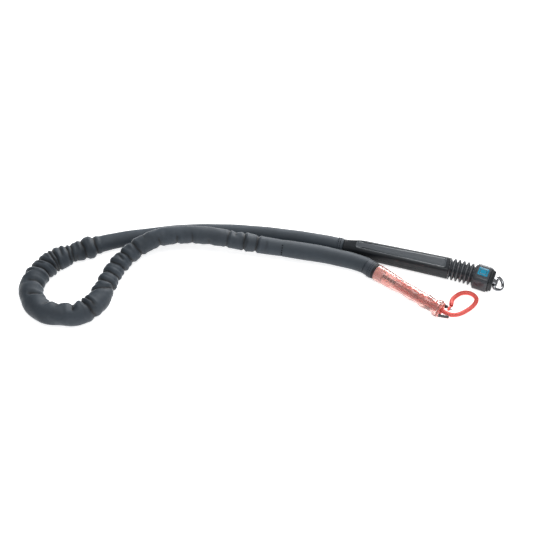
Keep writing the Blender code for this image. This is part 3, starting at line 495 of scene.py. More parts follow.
# Bonded polyester thread: darker than the cloth, a little shiny.
THREAD = Finish("bonded_polyester_thread", "#0d0e10", "#090a0c", 0.6, Pattern.GRAIN, 0.3, 0.02,
                5.0, 0.05, specular=0.1)
# Glass-filled nylon straight from a polished mould: black with soft wide reflections.
NYLON_SHELL = Finish("moulded_glass_filled_nylon", "#2b2e32", "#232629", 0.26, Pattern.GRAIN,
                     0.5, 0.01, 40.0, 0.04, ior=1.53, specular=0.16)
# The same nylon with a light etched grain, so the flat reads as slate grey.
NYLON_PANEL = Finish("etched_nylon_panel", "#41464c", "#3a3f44", 0.36, Pattern.GRAIN, 0.6, 0.03,
                     30.0, 0.05, ior=1.53, specular=0.3)
# Chloroprene rubber bellows: charcoal, with an even soft gloss that lights each rib's crest.
BELLOWS_RUBBER = Finish("chloroprene_rubber", "#3b3f44", "#313439", 0.42, Pattern.GRAIN, 0.7,
                        0.02, 18.0, 0.06, ior=1.52)
# Satin moulded nylon of the head: charcoal, and lighter where it takes the overhead light.
HEAD_NYLON = Finish("satin_moulded_nylon", "#3c3f44", "#34373c", 0.28, Pattern.GRAIN, 0.5, 0.015,
                    22.0, 0.04, ior=1.53, specular=0.3)
# Glossy enamel tile: a flat strong teal.
TEAL_ENAMEL = Finish("teal_enamel", "#037f9e", "#027593", 0.18, Pattern.GRAIN, 0.6, 0.005, 9.0,
                     0.03)
# Darker filled line of the tile's border.
ENAMEL_LINE = Finish("enamel_border_line", "#0a2f38", "#082830", 0.4, Pattern.GRAIN, 0.6,
                     0.005, 9.0, 0.03, coat=0.3)
# Tumbled and polished stainless wire: bright, with soft white and dark bands round it.
POLISHED_STEEL = Finish("polished_stainless", "#909296", "#828488", 0.1, Pattern.POLISH, 0.9,
                        0.004, 14.0, 0.04, metallic=1.0)
# Bright zinc on small fasteners: greyer and a little frosted.
ZINC_STEEL = Finish("bright_zinc_plate", "#b4b7ba", "#9fa3a8", 0.3, Pattern.POLISH, 0.5, 0.006,
                    6.0, 0.06, metallic=1.0)
# Sintered bronze: warm, matt and slightly speckled by its pores.
SINTERED_BRONZE = Finish("sintered_bronze", "#b08c5a", "#93713f", 0.42, Pattern.GRAIN, 0.4,
                         0.02, 5.0, 0.08, metallic=1.0)
# Moulded thermoplastic urethane: translucent coral red that half hides the pieces inside it.
CLEAR_URETHANE = Finish("translucent_red_urethane", "#ffdad4", "#ffcdc5", 0.1, Pattern.GRAIN,
                        2.5, 0.05, 12.0, 0.03, ior=1.49, transmission=0.86)
# Harder urethane of the liner: deeper red, clear.
DEEP_URETHANE = Finish("deep_red_urethane", "#ffb9af", "#fda79d", 0.1, Pattern.GRAIN, 1.5, 0.03,
                       8.0, 0.04, ior=1.5, transmission=0.7)
# Natural acetal: milky white, painted all over a pale pink that stands in for red light coming
# through the urethane round it.
PALE_ACETAL = Finish("natural_acetal", "#e9d3cf", "#dcc4c0", 0.35, Pattern.GRAIN, 0.8, 0.01, 6.0,
                     0.05, subsurface=0.2)
# Plain black acetal of the small release pieces.
BLACK_ACETAL = Finish("black_acetal", "#222225", "#18181a", 0.36, Pattern.GRAIN, 0.5, 0.01, 8.0,
                      0.05)
# Filament polyester cover: fuzzy bright red, with painted shade in the gaps between bundles so each
# bundle's crown reads paler.
ROPE_COVER = Finish("red_polyester_braid", "#ff7a70", "#fb6a60", 0.5, Pattern.BRAID, 0.25, 0.05,
                    6.0, 0.06, sheen=0.5, sheen_colour="#ffd9d4", painted_shade="#b52a25")
# Waxed whipping twine round the rope's end: darker red and smooth.
WHIPPING = Finish("waxed_whipping_twine", "#d0433c", "#b83832", 0.5, Pattern.BRAID, 0.2, 0.03,
                  4.0, 0.05)
# Black woven polyester load sling.
BLACK_WEBBING = Finish("black_woven_webbing", "#232528", "#1a1c1e", 0.75, Pattern.GRAIN, 0.6,
                       0.08, 8.0, 0.05, sheen=0.15)
# Opal acrylic light table: clean white, matt and lit softly from below.
OPAL_TABLE = Finish("opal_acrylic_table", "#f7f7f7", "#f4f4f5", 0.9, Pattern.GRAIN, 2.0, 0.01,
                    400.0, 0.03, glow=0.8)


def dress(piece: bpy.types.Object, finish: Finish) -> None:
    """Give every face of an object one finish."""
    piece.data.materials.clear()
    piece.data.materials.append(finish.material())


def add_piece(name: str, mesh: bpy.types.Mesh, finish: Finish, body: str | None,
              stands_for: Sequence[str] = ()) -> bpy.types.Object:
    """Put a finished mesh in the scene as one piece of the object.

    Args:
        name: Name of the piece.
        mesh: Its mesh, in the part's frame.
        finish: What it is made of.
        body: The rigid body that it rides on, or None to leave it on no body.
        stands_for: CAD nodes that it replaces.

    Returns:
        The new object.
    """
    piece = bpy.data.objects.new(name, mesh)
    bpy.context.collection.objects.link(piece)
    dress(piece, finish)
    if body is not None:
        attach(piece, body)
    if stands_for:
        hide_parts(*stands_for)
    LOG.info("%s: %d faces, %s", name, len(mesh.polygons), finish.name)
    return piece


# ------------------------------------------------------------------------------------ lines
@dataclass(frozen=True)
class HandleLine:
    """Straight line of the handle body, bending through the neck to the head."""

    body_length: float = 134.0
    neck_length: float = 33.0
    head_length: float = 18.0
    yaw: float = math.radians(7.5)

    def place(self, along: float, across: float, up: float) -> Vector:
        """Bend a point drawn straight onto the line.

        Args:
            along: Distance from the sleeve's joint towards the head, in mm.
            across: Distance to the left of that line, in mm.
            up: Height above the floor, in mm.

        Returns:
            The point in the part's frame, in mm.
        """
        share = min(1.0, max(0.0, (along - self.body_length) / self.neck_length))
        heading = self.yaw * (1.0 - share)
        arc = self.neck_length / self.yaw
        spare = along - self.body_length - share * self.neck_length
        x = -self.head_length / 2.0 - arc * math.sin(heading) + spare * math.cos(heading)
        y = -arc * (1.0 - math.cos(heading)) + spare * math.sin(heading)
        return Vector((x - across * math.sin(heading), y + across * math.cos(heading), up))

    def bend(self, rings: np.ndarray) -> np.ndarray:
        """Move rings drawn straight onto the line."""
        flat = [self.place(*point) for point in rings.reshape(-1, 3)]
        return np.array(flat).reshape(rings.shape)

    def head_start(self) -> float:
        """Where the head begins, measured from the sleeve's joint."""
        return self.body_length + self.neck_length


@dataclass(frozen=True)
class ReleaseLine:
    """Axis of the release, from the cuff's edge out to the rope loop."""

    start: tuple[float, float, float] = (-122.5, -42.0, 11.0)
    yaw: float = math.radians(-14.3)

    def matrix(self) -> Matrix:
        """Transform in metres from the release's own frame to the part's."""
        return Matrix.Translation(Vector(self.start) * MM) @ Matrix.Rotation(self.yaw, 4, "Z")

    def place(self, along: float, across: float = 0.0, up: float = 0.0) -> Vector:
        """Point in the part's frame, in mm, from one in the release's own."""
        turn = Matrix.Rotation(self.yaw, 3, "Z")
        return Vector(self.start) + turn @ Vector((along, across, up))


HANDLE_LINE = HandleLine()
RELEASE_LINE = ReleaseLine()


# ------------------------------------------------------------------------------------- lead
@dataclass(frozen=True)
class Crease:
    """One fold across the gathered sleeve.

    at is its place along the sleeve, and lean is how far it moves on towards the loop's
    inner side, in mm. It shows from start to end, where -1 is the loop's outer side and 1
    its inner side.
    """

    at: float
    lean: float
    start: float
    end: float
    depth: float
    width: float

    def groove(self, along: np.ndarray, across: np.ndarray) -> tuple[np.ndarray, np.ndarray]:
        """How far the fold pulls the cloth in.

        Args:
            along: Distance along the sleeve for each ring, in mm.
            across: Place between outer and inner side for each column.

        Returns:
            Depths in mm for each ring and column, with a small negative rim beside the
            fold, and how much painted shade each place gets in the fold, 0 to 1.
        """
        fade = (smooth_step(self.start - 0.35, self.start + 0.1, across)
                * (1.0 - smooth_step(self.end - 0.1, self.end + 0.35, across)))
        wave = 0.12 * self.width * np.sin(5.0 * across + self.at)
        middle = self.at + self.lean * across + wave
        away = (along[:, None] - middle[None, :]) / self.width
        sharp = np.exp(-(np.abs(away) / 0.5) ** 1.3)
        broad = np.exp(-(away / np.where(away < 0.0, 3.0, 1.1)) ** 2)
        rim = np.exp(-((np.abs(away) - 1.5) / 0.6) ** 2)
        # Painted shade, darkest along the fold's middle and gone a millimetre or two away from it.
        shade = np.exp(-(np.abs(away) * self.width / 1.4) ** 1.6)
        share = min(1.0, self.depth / 2.6)
        return (0.95 * self.depth * fade[None, :] * (0.7 * sharp + 0.36 * broad - 0.24 * rim),
                share * fade[None, :] * shade)


@dataclass
class Lead:
    """The fabric sleeve with the bungee in it, from the handle to the release."""

    rear_route: tuple[tuple[float, float, float], ...] = (
        (-197.0, -22.7, 9.9), (-226.0, -28.1, 9.8), (-254.0, -34.9, 9.8), (-283.0, -43.0, 9.8),
        (-311.0, -52.2, 9.8), (-337.0, -62.3, 9.8), (-362.0, -73.7, 9.8), (-386.0, -86.7, 9.8),
        (-410.0, -102.2, 10.4), (-434.3, -119.0, 11.6), (-456.2, -137.3, 12.2))
    loop_route: tuple[tuple[float, float, float], ...] = (
        (-476.8, -158.4, 12.2), (-493.0, -177.4, 12.2), (-502.5, -197.0, 12.2),
        (-505.0, -216.0, 12.2), (-500.5, -234.0, 12.2), (-488.5, -248.0, 12.2),
        (-471.5, -254.6, 12.2), (-454.0, -252.0, 12.2), (-438.0, -245.5, 12.2),
        (-426.0, -235.0, 12.2), (-420.0, -220.5, 12.2), (-419.0, -203.5, 12.2),
        (-420.8, -186.0, 12.2), (-421.0, -169.0, 12.8), (-418.0, -152.0, 14.6))
    lean_route: tuple[tuple[float, float, float], ...] = (
        (-411.5, -136.0, 17.8), (-402.0, -121.5, 21.6), (-389.0, -108.6, 24.8),
        (-371.0, -97.4, 26.4), (-350.0, -88.2, 26.8), (-328.0, -81.0, 26.4),
        (-304.0, -74.9, 24.8), (-281.0, -69.0, 22.4), (-257.0, -62.2, 19.4))
    front_route: tuple[tuple[float, float, float], ...] = (
        (-232.0, -54.8, 17.0), (-206.0, -47.8, 15.0), (-189.0, -43.8, 13.8),
        (-172.0, -40.6, 12.6), (-156.0, -38.0, 11.6))
    gap: float = 0.3
    straight: float = 9.0           # length that leaves the handle in line with it
    cuff_length: float = 14.0
    step: float = 0.9
    sides: int = 60
    diameter: float = 22.0
    facing: tuple[float, float, float] = (0.235, -0.555, 0.8)
    lift: float = 0.35              # cloth's underside above the floor
    # (place along the sleeve, radius) of the cloth between its folds
    girth: tuple[tuple[float, float], ...] = (
        (0.0, 9.75), (60.0, 9.6), (180.0, 9.75), (290.0, 9.9), (308.0, 10.8), (324.0, 14.6),
        (338.0, 12.4), (349.0, 12.2), (357.0, 14.6), (366.0, 15.0), (380.0, 15.2),
        (398.0, 15.0), (420.0, 14.9), (444.0, 14.9), (470.0, 14.0), (498.0, 14.4),
        (524.0, 14.6), (546.0, 13.6), (564.0, 12.8), (600.0, 12.2), (640.0, 11.6),
        (700.0, 11.2), (745.0, 11.1), (768.0, 11.6), (782.0, 10.9), (807.0, 10.5),
        (840.0, 10.9), (868.0, 10.5), (902.0, 10.3))
    creases: tuple[Crease, ...] = (
        Crease(316.5, -0.5, -1.0, 1.0, 2.6, 3.2), Crease(331.5, -0.5, -1.0, 1.0, 2.8, 2.8),
        Crease(334.5, 0.5, -0.5, 0.4, 1.0, 1.8), Crease(343.0, 0.0, 0.5, 1.0, 1.6, 4.0),
        Crease(347.0, 1.0, -1.0, 1.0, 2.4, 2.2), Crease(351.8, 0.0, -1.0, 0.6, 2.4, 2.4),
        Crease(360.5, 1.0, -1.0, -0.2, 1.8, 2.4), Crease(369.0, 1.0, -1.0, 1.0, 3.0, 2.2),
        Crease(373.2, 0.4, -1.0, 1.0, 2.6, 2.0), Crease(380.5, -5.5, -1.0, 1.0, 3.2, 2.6),
        Crease(386.5, -4.0, -1.0, -0.4, 1.8, 2.4), Crease(393.5, -2.5, -1.0, 1.0, 3.8, 3.6),
        Crease(396.5, -11.0, -1.0, -0.45, 1.8, 3.6), Crease(416.5, 0.5, -0.3, 1.0, 2.2, 4.4),
        Crease(436.0, 5.0, 0.1, 1.0, 3.0, 3.4), Crease(452.0, 12.0, 0.75, 1.0, 2.0, 4.0),
        Crease(478.0, 0.0, 0.8, 1.0, 1.6, 5.0), Crease(498.0, 0.0, 0.45, 1.0, 3.6, 5.0),
        Crease(515.5, -1.6, -0.9, 1.0, 3.2, 3.2), Crease(521.0, 0.5, 0.0, 0.9, 2.2, 2.4),
        Crease(546.0, -7.0, -1.0, 1.0, 2.2, 3.8), Crease(556.5, 1.0, -1.0, 1.0, 2.6, 3.2),
        Crease(571.0, 0.0, -1.0, 1.0, 2.8, 3.4), Crease(587.0, -2.0, -1.0, 1.0, 3.0, 3.4),
        Crease(596.0, 2.0, 0.1, 0.7, 1.4, 2.4), Crease(604.5, -1.5, -1.0, 1.0, 2.6, 3.2),
        Crease(621.0, -1.0, -1.0, 1.0, 2.4, 3.2), Crease(652.0, 1.0, -1.0, -0.2, 2.2, 4.0),
        Crease(636.0, 0.0, 0.6, 1.0, 1.0, 4.0), Crease(675.0, 0.0, -1.0, -0.2, 2.0, 3.6),
        Crease(695.0, 0.5, -1.0, 0.0, 1.6, 3.4), Crease(716.0, 0.0, -1.0, -0.5, 1.4, 5.0),
        Crease(739.0, 0.5, -1.0, 0.9, 1.8, 2.6), Crease(748.0, 0.0, 0.6, 1.0, 1.8, 4.0),
        Crease(759.5, -0.8, -1.0, 1.0, 2.4, 2.2), Crease(762.5, 1.0, -0.6, 0.2, 1.2, 1.6),
        Crease(775.5, 0.5, -1.0, 1.0, 2.6, 2.2), Crease(787.0, 0.6, -0.8, 0.4, 0.8, 1.8))
    seam_at: float = 807.0

    def route(self) -> np.ndarray:
        """Centre line of the sleeve, from the handle to the front cuff, in mm."""
        base = 9.75
        ends = [HANDLE_LINE.place(-x, 0.0, base) for x in (self.gap, self.straight)]
        tail = [RELEASE_LINE.place(-x) for x in (self.cuff_length + 4.3, self.cuff_length + 0.3)]
        points = (ends + list(self.rear_route) + list(self.loop_route) + list(self.lean_route)
                  + list(self.front_route) + tail)
        return smooth_route(points, self.step)

    def radii(self, along: np.ndarray) -> tuple[np.ndarray, np.ndarray]:
        """Radius of the cloth in mm, and painted shade in the folds from 0 to 1, for each ring and
        column.
        """
        angles = tube_angles(self.sides)
        across = np.cos(angles)
        knots = np.array(self.girth)
        radius = np.repeat(np.interp(along, knots[:, 0], knots[:, 1])[:, None], self.sides, 1)
        gathered = (smooth_step(300.0, 330.0, along)
                    * (1.0 - smooth_step(770.0, 800.0, along)))[:, None]
        slack = 0.34 + 0.5 * (smooth_step(395.0, 420.0, along)
                              * (1.0 - smooth_step(530.0, 555.0, along)))[:, None]
        radius += gathered * slack * wander(along, angles, (21.0, 34.0), 7)
        radius += gathered * 0.12 * wander(along, angles, (7.0, 10.0), 11)
        quiet = (1.0 - smooth_step(885.0, 900.0, along))[:, None]
        radius += quiet * (1.0 - gathered) * 0.16 * wander(along, angles, (46.0, 75.0), 5)
        # Painted shade mask: the deepest crease at each place sets how dark its colour is painted.
        fold = np.zeros_like(radius)
        for crease in self.creases:
            pull, shade = crease.groove(along, across)
            radius -= pull
            fold = np.maximum(fold, shade)
        hem = 1.0 - smooth_step(7.0, 8.2, along)
        seam = np.exp(-((along - self.seam_at) / 1.6) ** 2)
        radius += (0.5 * hem - 0.2 * seam)[:, None]
        edge = 0.9 * (1.0 - np.sqrt(np.clip(1.0 - (1.0 - np.clip(along / 0.9, 0, 1)) ** 2, 0, 1)))
        return radius - edge[:, None], fold

    def build(self) -> None:
        """Make the sleeve, its hem stitches and its bar tack."""
        points = self.route()
        along = walked_mm(points)
        radii, fold = self.radii(along)
        rings = tube_rings(points, radii, self.facing)
        rings[..., 2] = np.maximum(rings[..., 2], self.lift)
        mesh = skin("sleeve", rings, lay=(along, 2.0 * math.pi * 10.5), fold=fold)
        sleeve = add_piece("sleeve", mesh, SLEEVE_KNIT, "lead",
                           ("sleeve_rear", "sleeve_loop", "sleeve_lean", "sleeve_front",
                            "rear_hem"))
        rows = [self.stitch_row(rings, along, 3.6, 26), self.stitch_row(rings, along, 6.0, 26)]
        stitches = add_piece("rear_hem_stitches",
                             stitch_mesh("rear_hem_stitches", rows[0] + rows[1], 1.6, 0.8),
                             THREAD, "lead")
        tack = add_piece("bar_tack", stitch_mesh("bar_tack", self.tack_seats(rings, along),
                                                 1.7, 1.6), THREAD, "lead")
        LOG.info("sleeve length %.1f mm", along[-1])

    def stitch_row(self, rings: np.ndarray, along: np.ndarray, at: float,
                   count: int) -> list[tuple[Vector, Vector, Vector]]:
        """Seats of stitches that run round the sleeve.

        Args:
            rings: The sleeve's rings, in mm.
            along: Distance along the sleeve for each ring, in mm.
            at: Where along the sleeve the row lies, in mm.
            count: Stitches in the row.

        Returns:
            Middle, run and outward direction of each stitch.
        """
        ring = rings[int(np.argmin(np.abs(along - at)))]
        middle = Vector(ring.mean(axis=0))
        seats = []
        for k in range(count):
            place = k * self.sides / count
            here = Vector(ring[int(place) % self.sides])
            ahead = Vector(ring[(int(place) + 1) % self.sides])
            spot = here.lerp(ahead, place % 1.0)
            out = (spot - middle).normalized()
            seats.append((spot + out * 0.05, (ahead - here).normalized(), out))
        return seats

    def tack_seats(self, rings: np.ndarray,
                   along: np.ndarray) -> list[tuple[Vector, Vector, Vector]]:
        """Seats of the bar tack's five stitches, down the sleeve's outer side."""
        return self.stitch_row(rings, along, self.seam_at, 20)[9:14]


@dataclass
class FrontCuff:
    """Hemmed end of the sleeve over the release's ferrule, which slides back as it fires."""

    radius: float = 10.3
    length: float = 14.0
    edge_band: float = 3.2
    gap: float = 0.3

    def build(self) -> None:
        """Make the cuff, its stitches and its woven edge."""
        start = -self.length - self.gap
        stop = -self.gap - self.edge_band
        inner = self.radius - 1.5
        outline = [(start, inner), (start, self.radius), (stop - 6.5, self.radius + 0.05),
                   (stop - 6.0, self.radius + 0.3), (stop, self.radius + 0.25),
                   (stop + 0.2, self.radius - 0.1), (stop + 0.2, inner)]
        cloth = turned("front_cuff_cloth", softened(outline, 0.08), hollow=True)
        rows = [[self.seat(at, 2.0 * math.pi * k / 26.0) for k in range(26)]
                for at in (stop - 4.6, stop - 2.2)]
        thread = stitch_mesh("front_cuff_stitches", rows[0] + rows[1], 1.6, 0.7)
        band = turned("front_cuff_band", softened(
            [(stop, inner), (stop, self.radius - 0.1), (-self.gap, self.radius - 0.25),
             (-self.gap, inner)], 0.45), hollow=True)
        stands_for = ("front_cuff",)
        for name, mesh, finish in (("front_cuff_cloth", cloth, HEM_KNIT),
                                   ("front_cuff_stitches", thread, THREAD),
                                   ("front_cuff_band", band, EDGE_ELASTIC)):
            mesh.transform(RELEASE_LINE.matrix())
            piece = add_piece(name, mesh, finish, "lead", stands_for)
            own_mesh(piece)
            stands_for = ()

    def seat(self, at: float, angle: float) -> tuple[Vector, Vector, Vector]:
        """Middle, run and outward direction of one stitch, in the release's frame."""
        out = Vector((0.0, math.cos(angle), math.sin(angle)))
        run = Vector((0.0, -math.sin(angle), math.cos(angle)))
        return out * (self.radius + 0.3) + Vector((at, 0.0, 0.0)), run, out


# ----------------------------------------------------------------------------------- handle
def rounded_outline(width: float, height: float, base: float, top_bend: float,
                    low_bend: float, steps: int = 7) -> np.ndarray:
    """Rounded rectangle in (y, z), anticlockwise from its underside.

    Args:
        width: Full width, in mm.
        height: Full height, in mm.
        base: Height of its lower edge, in mm.
        top_bend: Radius of the upper corners, in mm.
        low_bend: Radius of the lower corners, in mm.
        steps: Facets in each corner.

    Returns:
        The outline's points.
    """
    corners = ((1.0, base + low_bend, low_bend, -90.0),
               (1.0, base + height - top_bend, top_bend, 0.0),
               (-1.0, base + height - top_bend, top_bend, 90.0),
               (-1.0, base + low_bend, low_bend, 180.0))
    points = []
    for side, middle, bend, begin in corners:
        for i in range(steps + 1):
            angle = math.radians(begin + 90.0 * i / steps)
            points.append((side * (width / 2.0 - bend) + bend * math.cos(angle),
                           middle + bend * math.sin(angle)))
    return np.array(points)


def section(x: float, outline: np.ndarray) -> np.ndarray:
    """Ring of points at x from a (y, z) outline."""
    return np.column_stack([np.full(len(outline), x), outline])


@dataclass
class HandleBody:
    """Moulded handle in two shells, with the grained panel let into its top."""

    length: float = 134.0
    thin: float = 17.2
    wide: float = 22.6
    height: float = 21.6
    top_bend: float = 3.6
    low_bend: float = 6.5
    fairing: float = 26.0           # length over which the round end turns to the full body
    sleeve_radius: float = 9.75
    parting: float = 10.6           # height of the joint between the shells
    parting_width: float = 0.5
    parting_depth: float = 0.4
    panel_start: float = 15.5
    panel_end: float = 129.5
    panel_margin: float = 2.6
    panel_bend: float = 3.2
    panel_top: float = 22.1
    panel_rim: float = 1.5
    hidden: dict[str, Finish] = field(default_factory=lambda: {
        "shell_screw_1": ZINC_STEEL, "shell_screw_2": ZINC_STEEL, "shell_screw_3": ZINC_STEEL,
        "shell_screw_4": ZINC_STEEL, "body_anchor_pin": ZINC_STEEL, "bungee_clevis": ZINC_STEEL,
        "sleeve_spigot": BLACK_ACETAL, "bungee_tail_rear": BLACK_WEBBING})

    def width_at(self, x: float) -> float:
        """Outer width at a station."""
        return self.thin + (self.wide - self.thin) * x / self.length

    def share_at(self, x: float) -> float:
        """How far the section has turned from the round end to the full body."""
        share = min(1.0, x / self.fairing)
        return share * share * (3.0 - 2.0 * share)

    def sag_at(self, x: float) -> float:
        """How far the top lies below the full body's top, in mm."""
        return (1.0 - self.share_at(x)) * (self.height - 2.0 * self.sleeve_radius)

    def ring(self, x: float, inset: float) -> np.ndarray:
        """Outline of the body at a station, set in by an edge's rounding."""
        outline = rounded_outline(self.width_at(x), self.height, 0.0, self.top_bend,
                                  self.low_bend, 8)
        steps = 9
        heights = [self.parting + k * self.parting_width / 2.0 for k in (-2.2, -1.0, 0.0, 1.0, 2.2)]
        sunk = [0.0, 0.0, self.parting_depth, 0.0, 0.0]
        half = self.width_at(x) / 2.0
        right = np.array([(half - d, z) for d, z in zip(sunk, heights)])
        left = np.array([(-half + d, z) for d, z in zip(sunk[::-1], heights[::-1])])
        outline = np.vstack([outline[:steps], right, outline[steps:3 * steps], left,
                             outline[3 * steps:]])
        middle = np.array([0.0, self.sleeve_radius])
        share = self.share_at(x)
        from_middle = outline - middle
        reach = np.linalg.norm(from_middle, axis=1, keepdims=True)
        dip = np.zeros(len(outline))
        dip[steps + 2] = self.parting_depth
        dip[3 * steps + 5 + 2] = self.parting_depth
        round_end = from_middle / reach * (self.sleeve_radius - dip)[:, None] + middle
        blended = (1.0 - share) * round_end + share * outline
        centre = np.array([0.0, self.height / 2.0])
        away = blended - centre
        size = np.linalg.norm(away, axis=1, keepdims=True)
        return section(x, centre + away * (1.0 - inset / size))

    def panel_outline(self, inset: float) -> np.ndarray:
        """Tapered panel outline in (x, y), set in from its edge."""
        start, end = self.panel_start + inset, self.panel_end - inset
        bend = max(self.panel_bend - inset, 0.6)
        corners = ((end - bend, -1, -90.0), (end - bend, 1, 0.0), (start + bend, 1, 90.0),
                   (start + bend, -1, 180.0))
        points = []
        for x, side, begin in corners:
            y = side * (self.width_at(x) / 2.0 - self.panel_margin - inset - bend)
            for i in range(9):
                angle = math.radians(begin + 90.0 * i / 8.0)
                points.append((x + bend * math.cos(angle), y + bend * math.sin(angle)))
        return np.array(points)

    def panel_rings(self) -> np.ndarray:
        """Rings of the panel from its underside up over the rim to the grained field."""
        top = self.panel_top
        rim = self.panel_rim
        steps = ((0.0, top - 1.5), (0.0, top - 0.5), (0.1, top - 0.2), (0.35, top - 0.03),
                 (0.6, top), (rim - 0.4, top), (rim - 0.1, top - 0.08), (rim, top - 0.3),
                 (rim + 0.5, top - 0.34), (rim + 0.75, top - 0.3), (rim + 0.95, top - 0.2),
                 (rim + 2.2, top - 0.16))
        rings = []
        for inset, z in steps:
            outline = self.panel_outline(inset)
            sag = np.array([self.sag_at(x) for x in outline[:, 0]])
            rings.append(np.column_stack([outline, z - sag]))
        return np.array(rings)

    def build(self) -> None:
        """Make the shells and the panel, and dress what lies inside them."""
        edges = ((0.0, 0.7), (0.15, 0.35), (0.45, 0.1), (0.9, 0.0))
        stations = list(edges) + [(x, 0.0) for x in np.linspace(1.8, self.fairing, 16)]
        stations += [(x, 0.0) for x in np.linspace(30.0, self.length - 2.0, 20)]
        stations += [(self.length - x, inset) for x, inset in reversed(edges)]
        rings = HANDLE_LINE.bend(np.array([self.ring(x, inset) for x, inset in stations]))
        add_piece("handle_shells", skin("handle_shells", rings), NYLON_SHELL,
                  "lead", ("handle_shell_upper", "handle_shell_lower"))
        panel = HANDLE_LINE.bend(self.panel_rings())
        add_piece("grained_panel", skin("grained_panel", panel), NYLON_PANEL,
                  "lead", ("top_panel",))
        for node, finish in self.hidden.items():
            dress(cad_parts[node], finish)


@dataclass
class BellowsNeck:
    """Ribbed rubber neck and the load sling that runs through it."""

    width: float = 22.6
    height: float = 22.2
    base: float = 0.7
    corner: float = 4.6
    ribs: int = 5
    rib_depth: float = 3.5
    gap: float = 0.3
    samples: int = 16               # rings in each rib's pitch
    sling_width: float = 4.0
    sling_thickness: float = 1.2
    pin_radius: float = 2.3
    sling_ends: tuple[tuple[float, float], ...] = ((36.0, 9.75), (171.0, 11.8))

    def ring(self, x: float, inset: float) -> np.ndarray:
        """Rounded square section of the bellows at a station."""
        bend = max(self.corner - 0.5 * inset, 2.2)
        return section(x, rounded_outline(self.width - 2.0 * inset, self.height - 2.0 * inset,
                                          self.base + inset, bend, bend, 8))

    def build(self) -> None:
        """Make the bellows and the sling, bent between the handle and the head."""
        start = HANDLE_LINE.body_length + self.gap
        end = HANDLE_LINE.head_start() - self.gap
        pitch = (end - start) / (self.ribs + 1)
        stations = np.linspace(start, end, self.samples * (self.ribs + 1) + 1)
        phase = (stations - start) / pitch
        wave = 0.5 - 0.5 * np.cos(2.0 * math.pi * phase)
        insets = self.rib_depth * wave ** 1.9
        ends = np.minimum(stations - start, end - stations)
        insets = np.where(ends < 1.2, np.minimum(insets, 0.4), insets)
        rings = np.array([self.ring(x, i) for x, i in zip(stations, insets)])
        pieces = [add_piece("bellows", skin("bellows", HANDLE_LINE.bend(rings)), BELLOWS_RUBBER,
                            None, ("bellows_neck",)),
                  add_piece("webbing_sling", self.sling(), BLACK_WEBBING, None,
                            ("load_sling",))]
        for piece in pieces:
            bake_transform(piece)

    def sling(self) -> bpy.types.Mesh:
        """Endless band round the body's pin and the head's pin."""
        (near_x, near_z), (far_x, far_z) = self.sling_ends
        near, far = Vector((near_x, 0.0, near_z)), Vector((far_x, 0.0, far_z))
        tilt = math.atan2(far.z - near.z, far.x - near.x)
        path = []
        for centre, other, begin in ((near, far, 90.0), (far, near, -90.0)):
            for i in range(13):
                angle = math.radians(begin + 15.0 * i) + tilt
                path.append((centre, Vector((math.cos(angle), 0.0, math.sin(angle)))))
            away = path[-1][1]
            path += [(centre.lerp(other, i / 24.0), away) for i in range(1, 24)]
        half = self.sling_width / 2.0
        rings = []
        for centre, away in path:
            ring = [(y, depth) for y, depth in
                    ((-half, 0.15), (-half + 0.3, 0.0), (half - 0.3, 0.0), (half, 0.15),
                     (half, self.sling_thickness - 0.15), (half - 0.3, self.sling_thickness),
                     (-half + 0.3, self.sling_thickness), (-half, self.sling_thickness - 0.15))]
            rings.append([centre + away * (self.pin_radius + depth) + Vector((0.0, y, 0.0))
                          for y, depth in ring])
        return skin("webbing_sling", HANDLE_LINE.bend(np.array(rings)), looped=True)


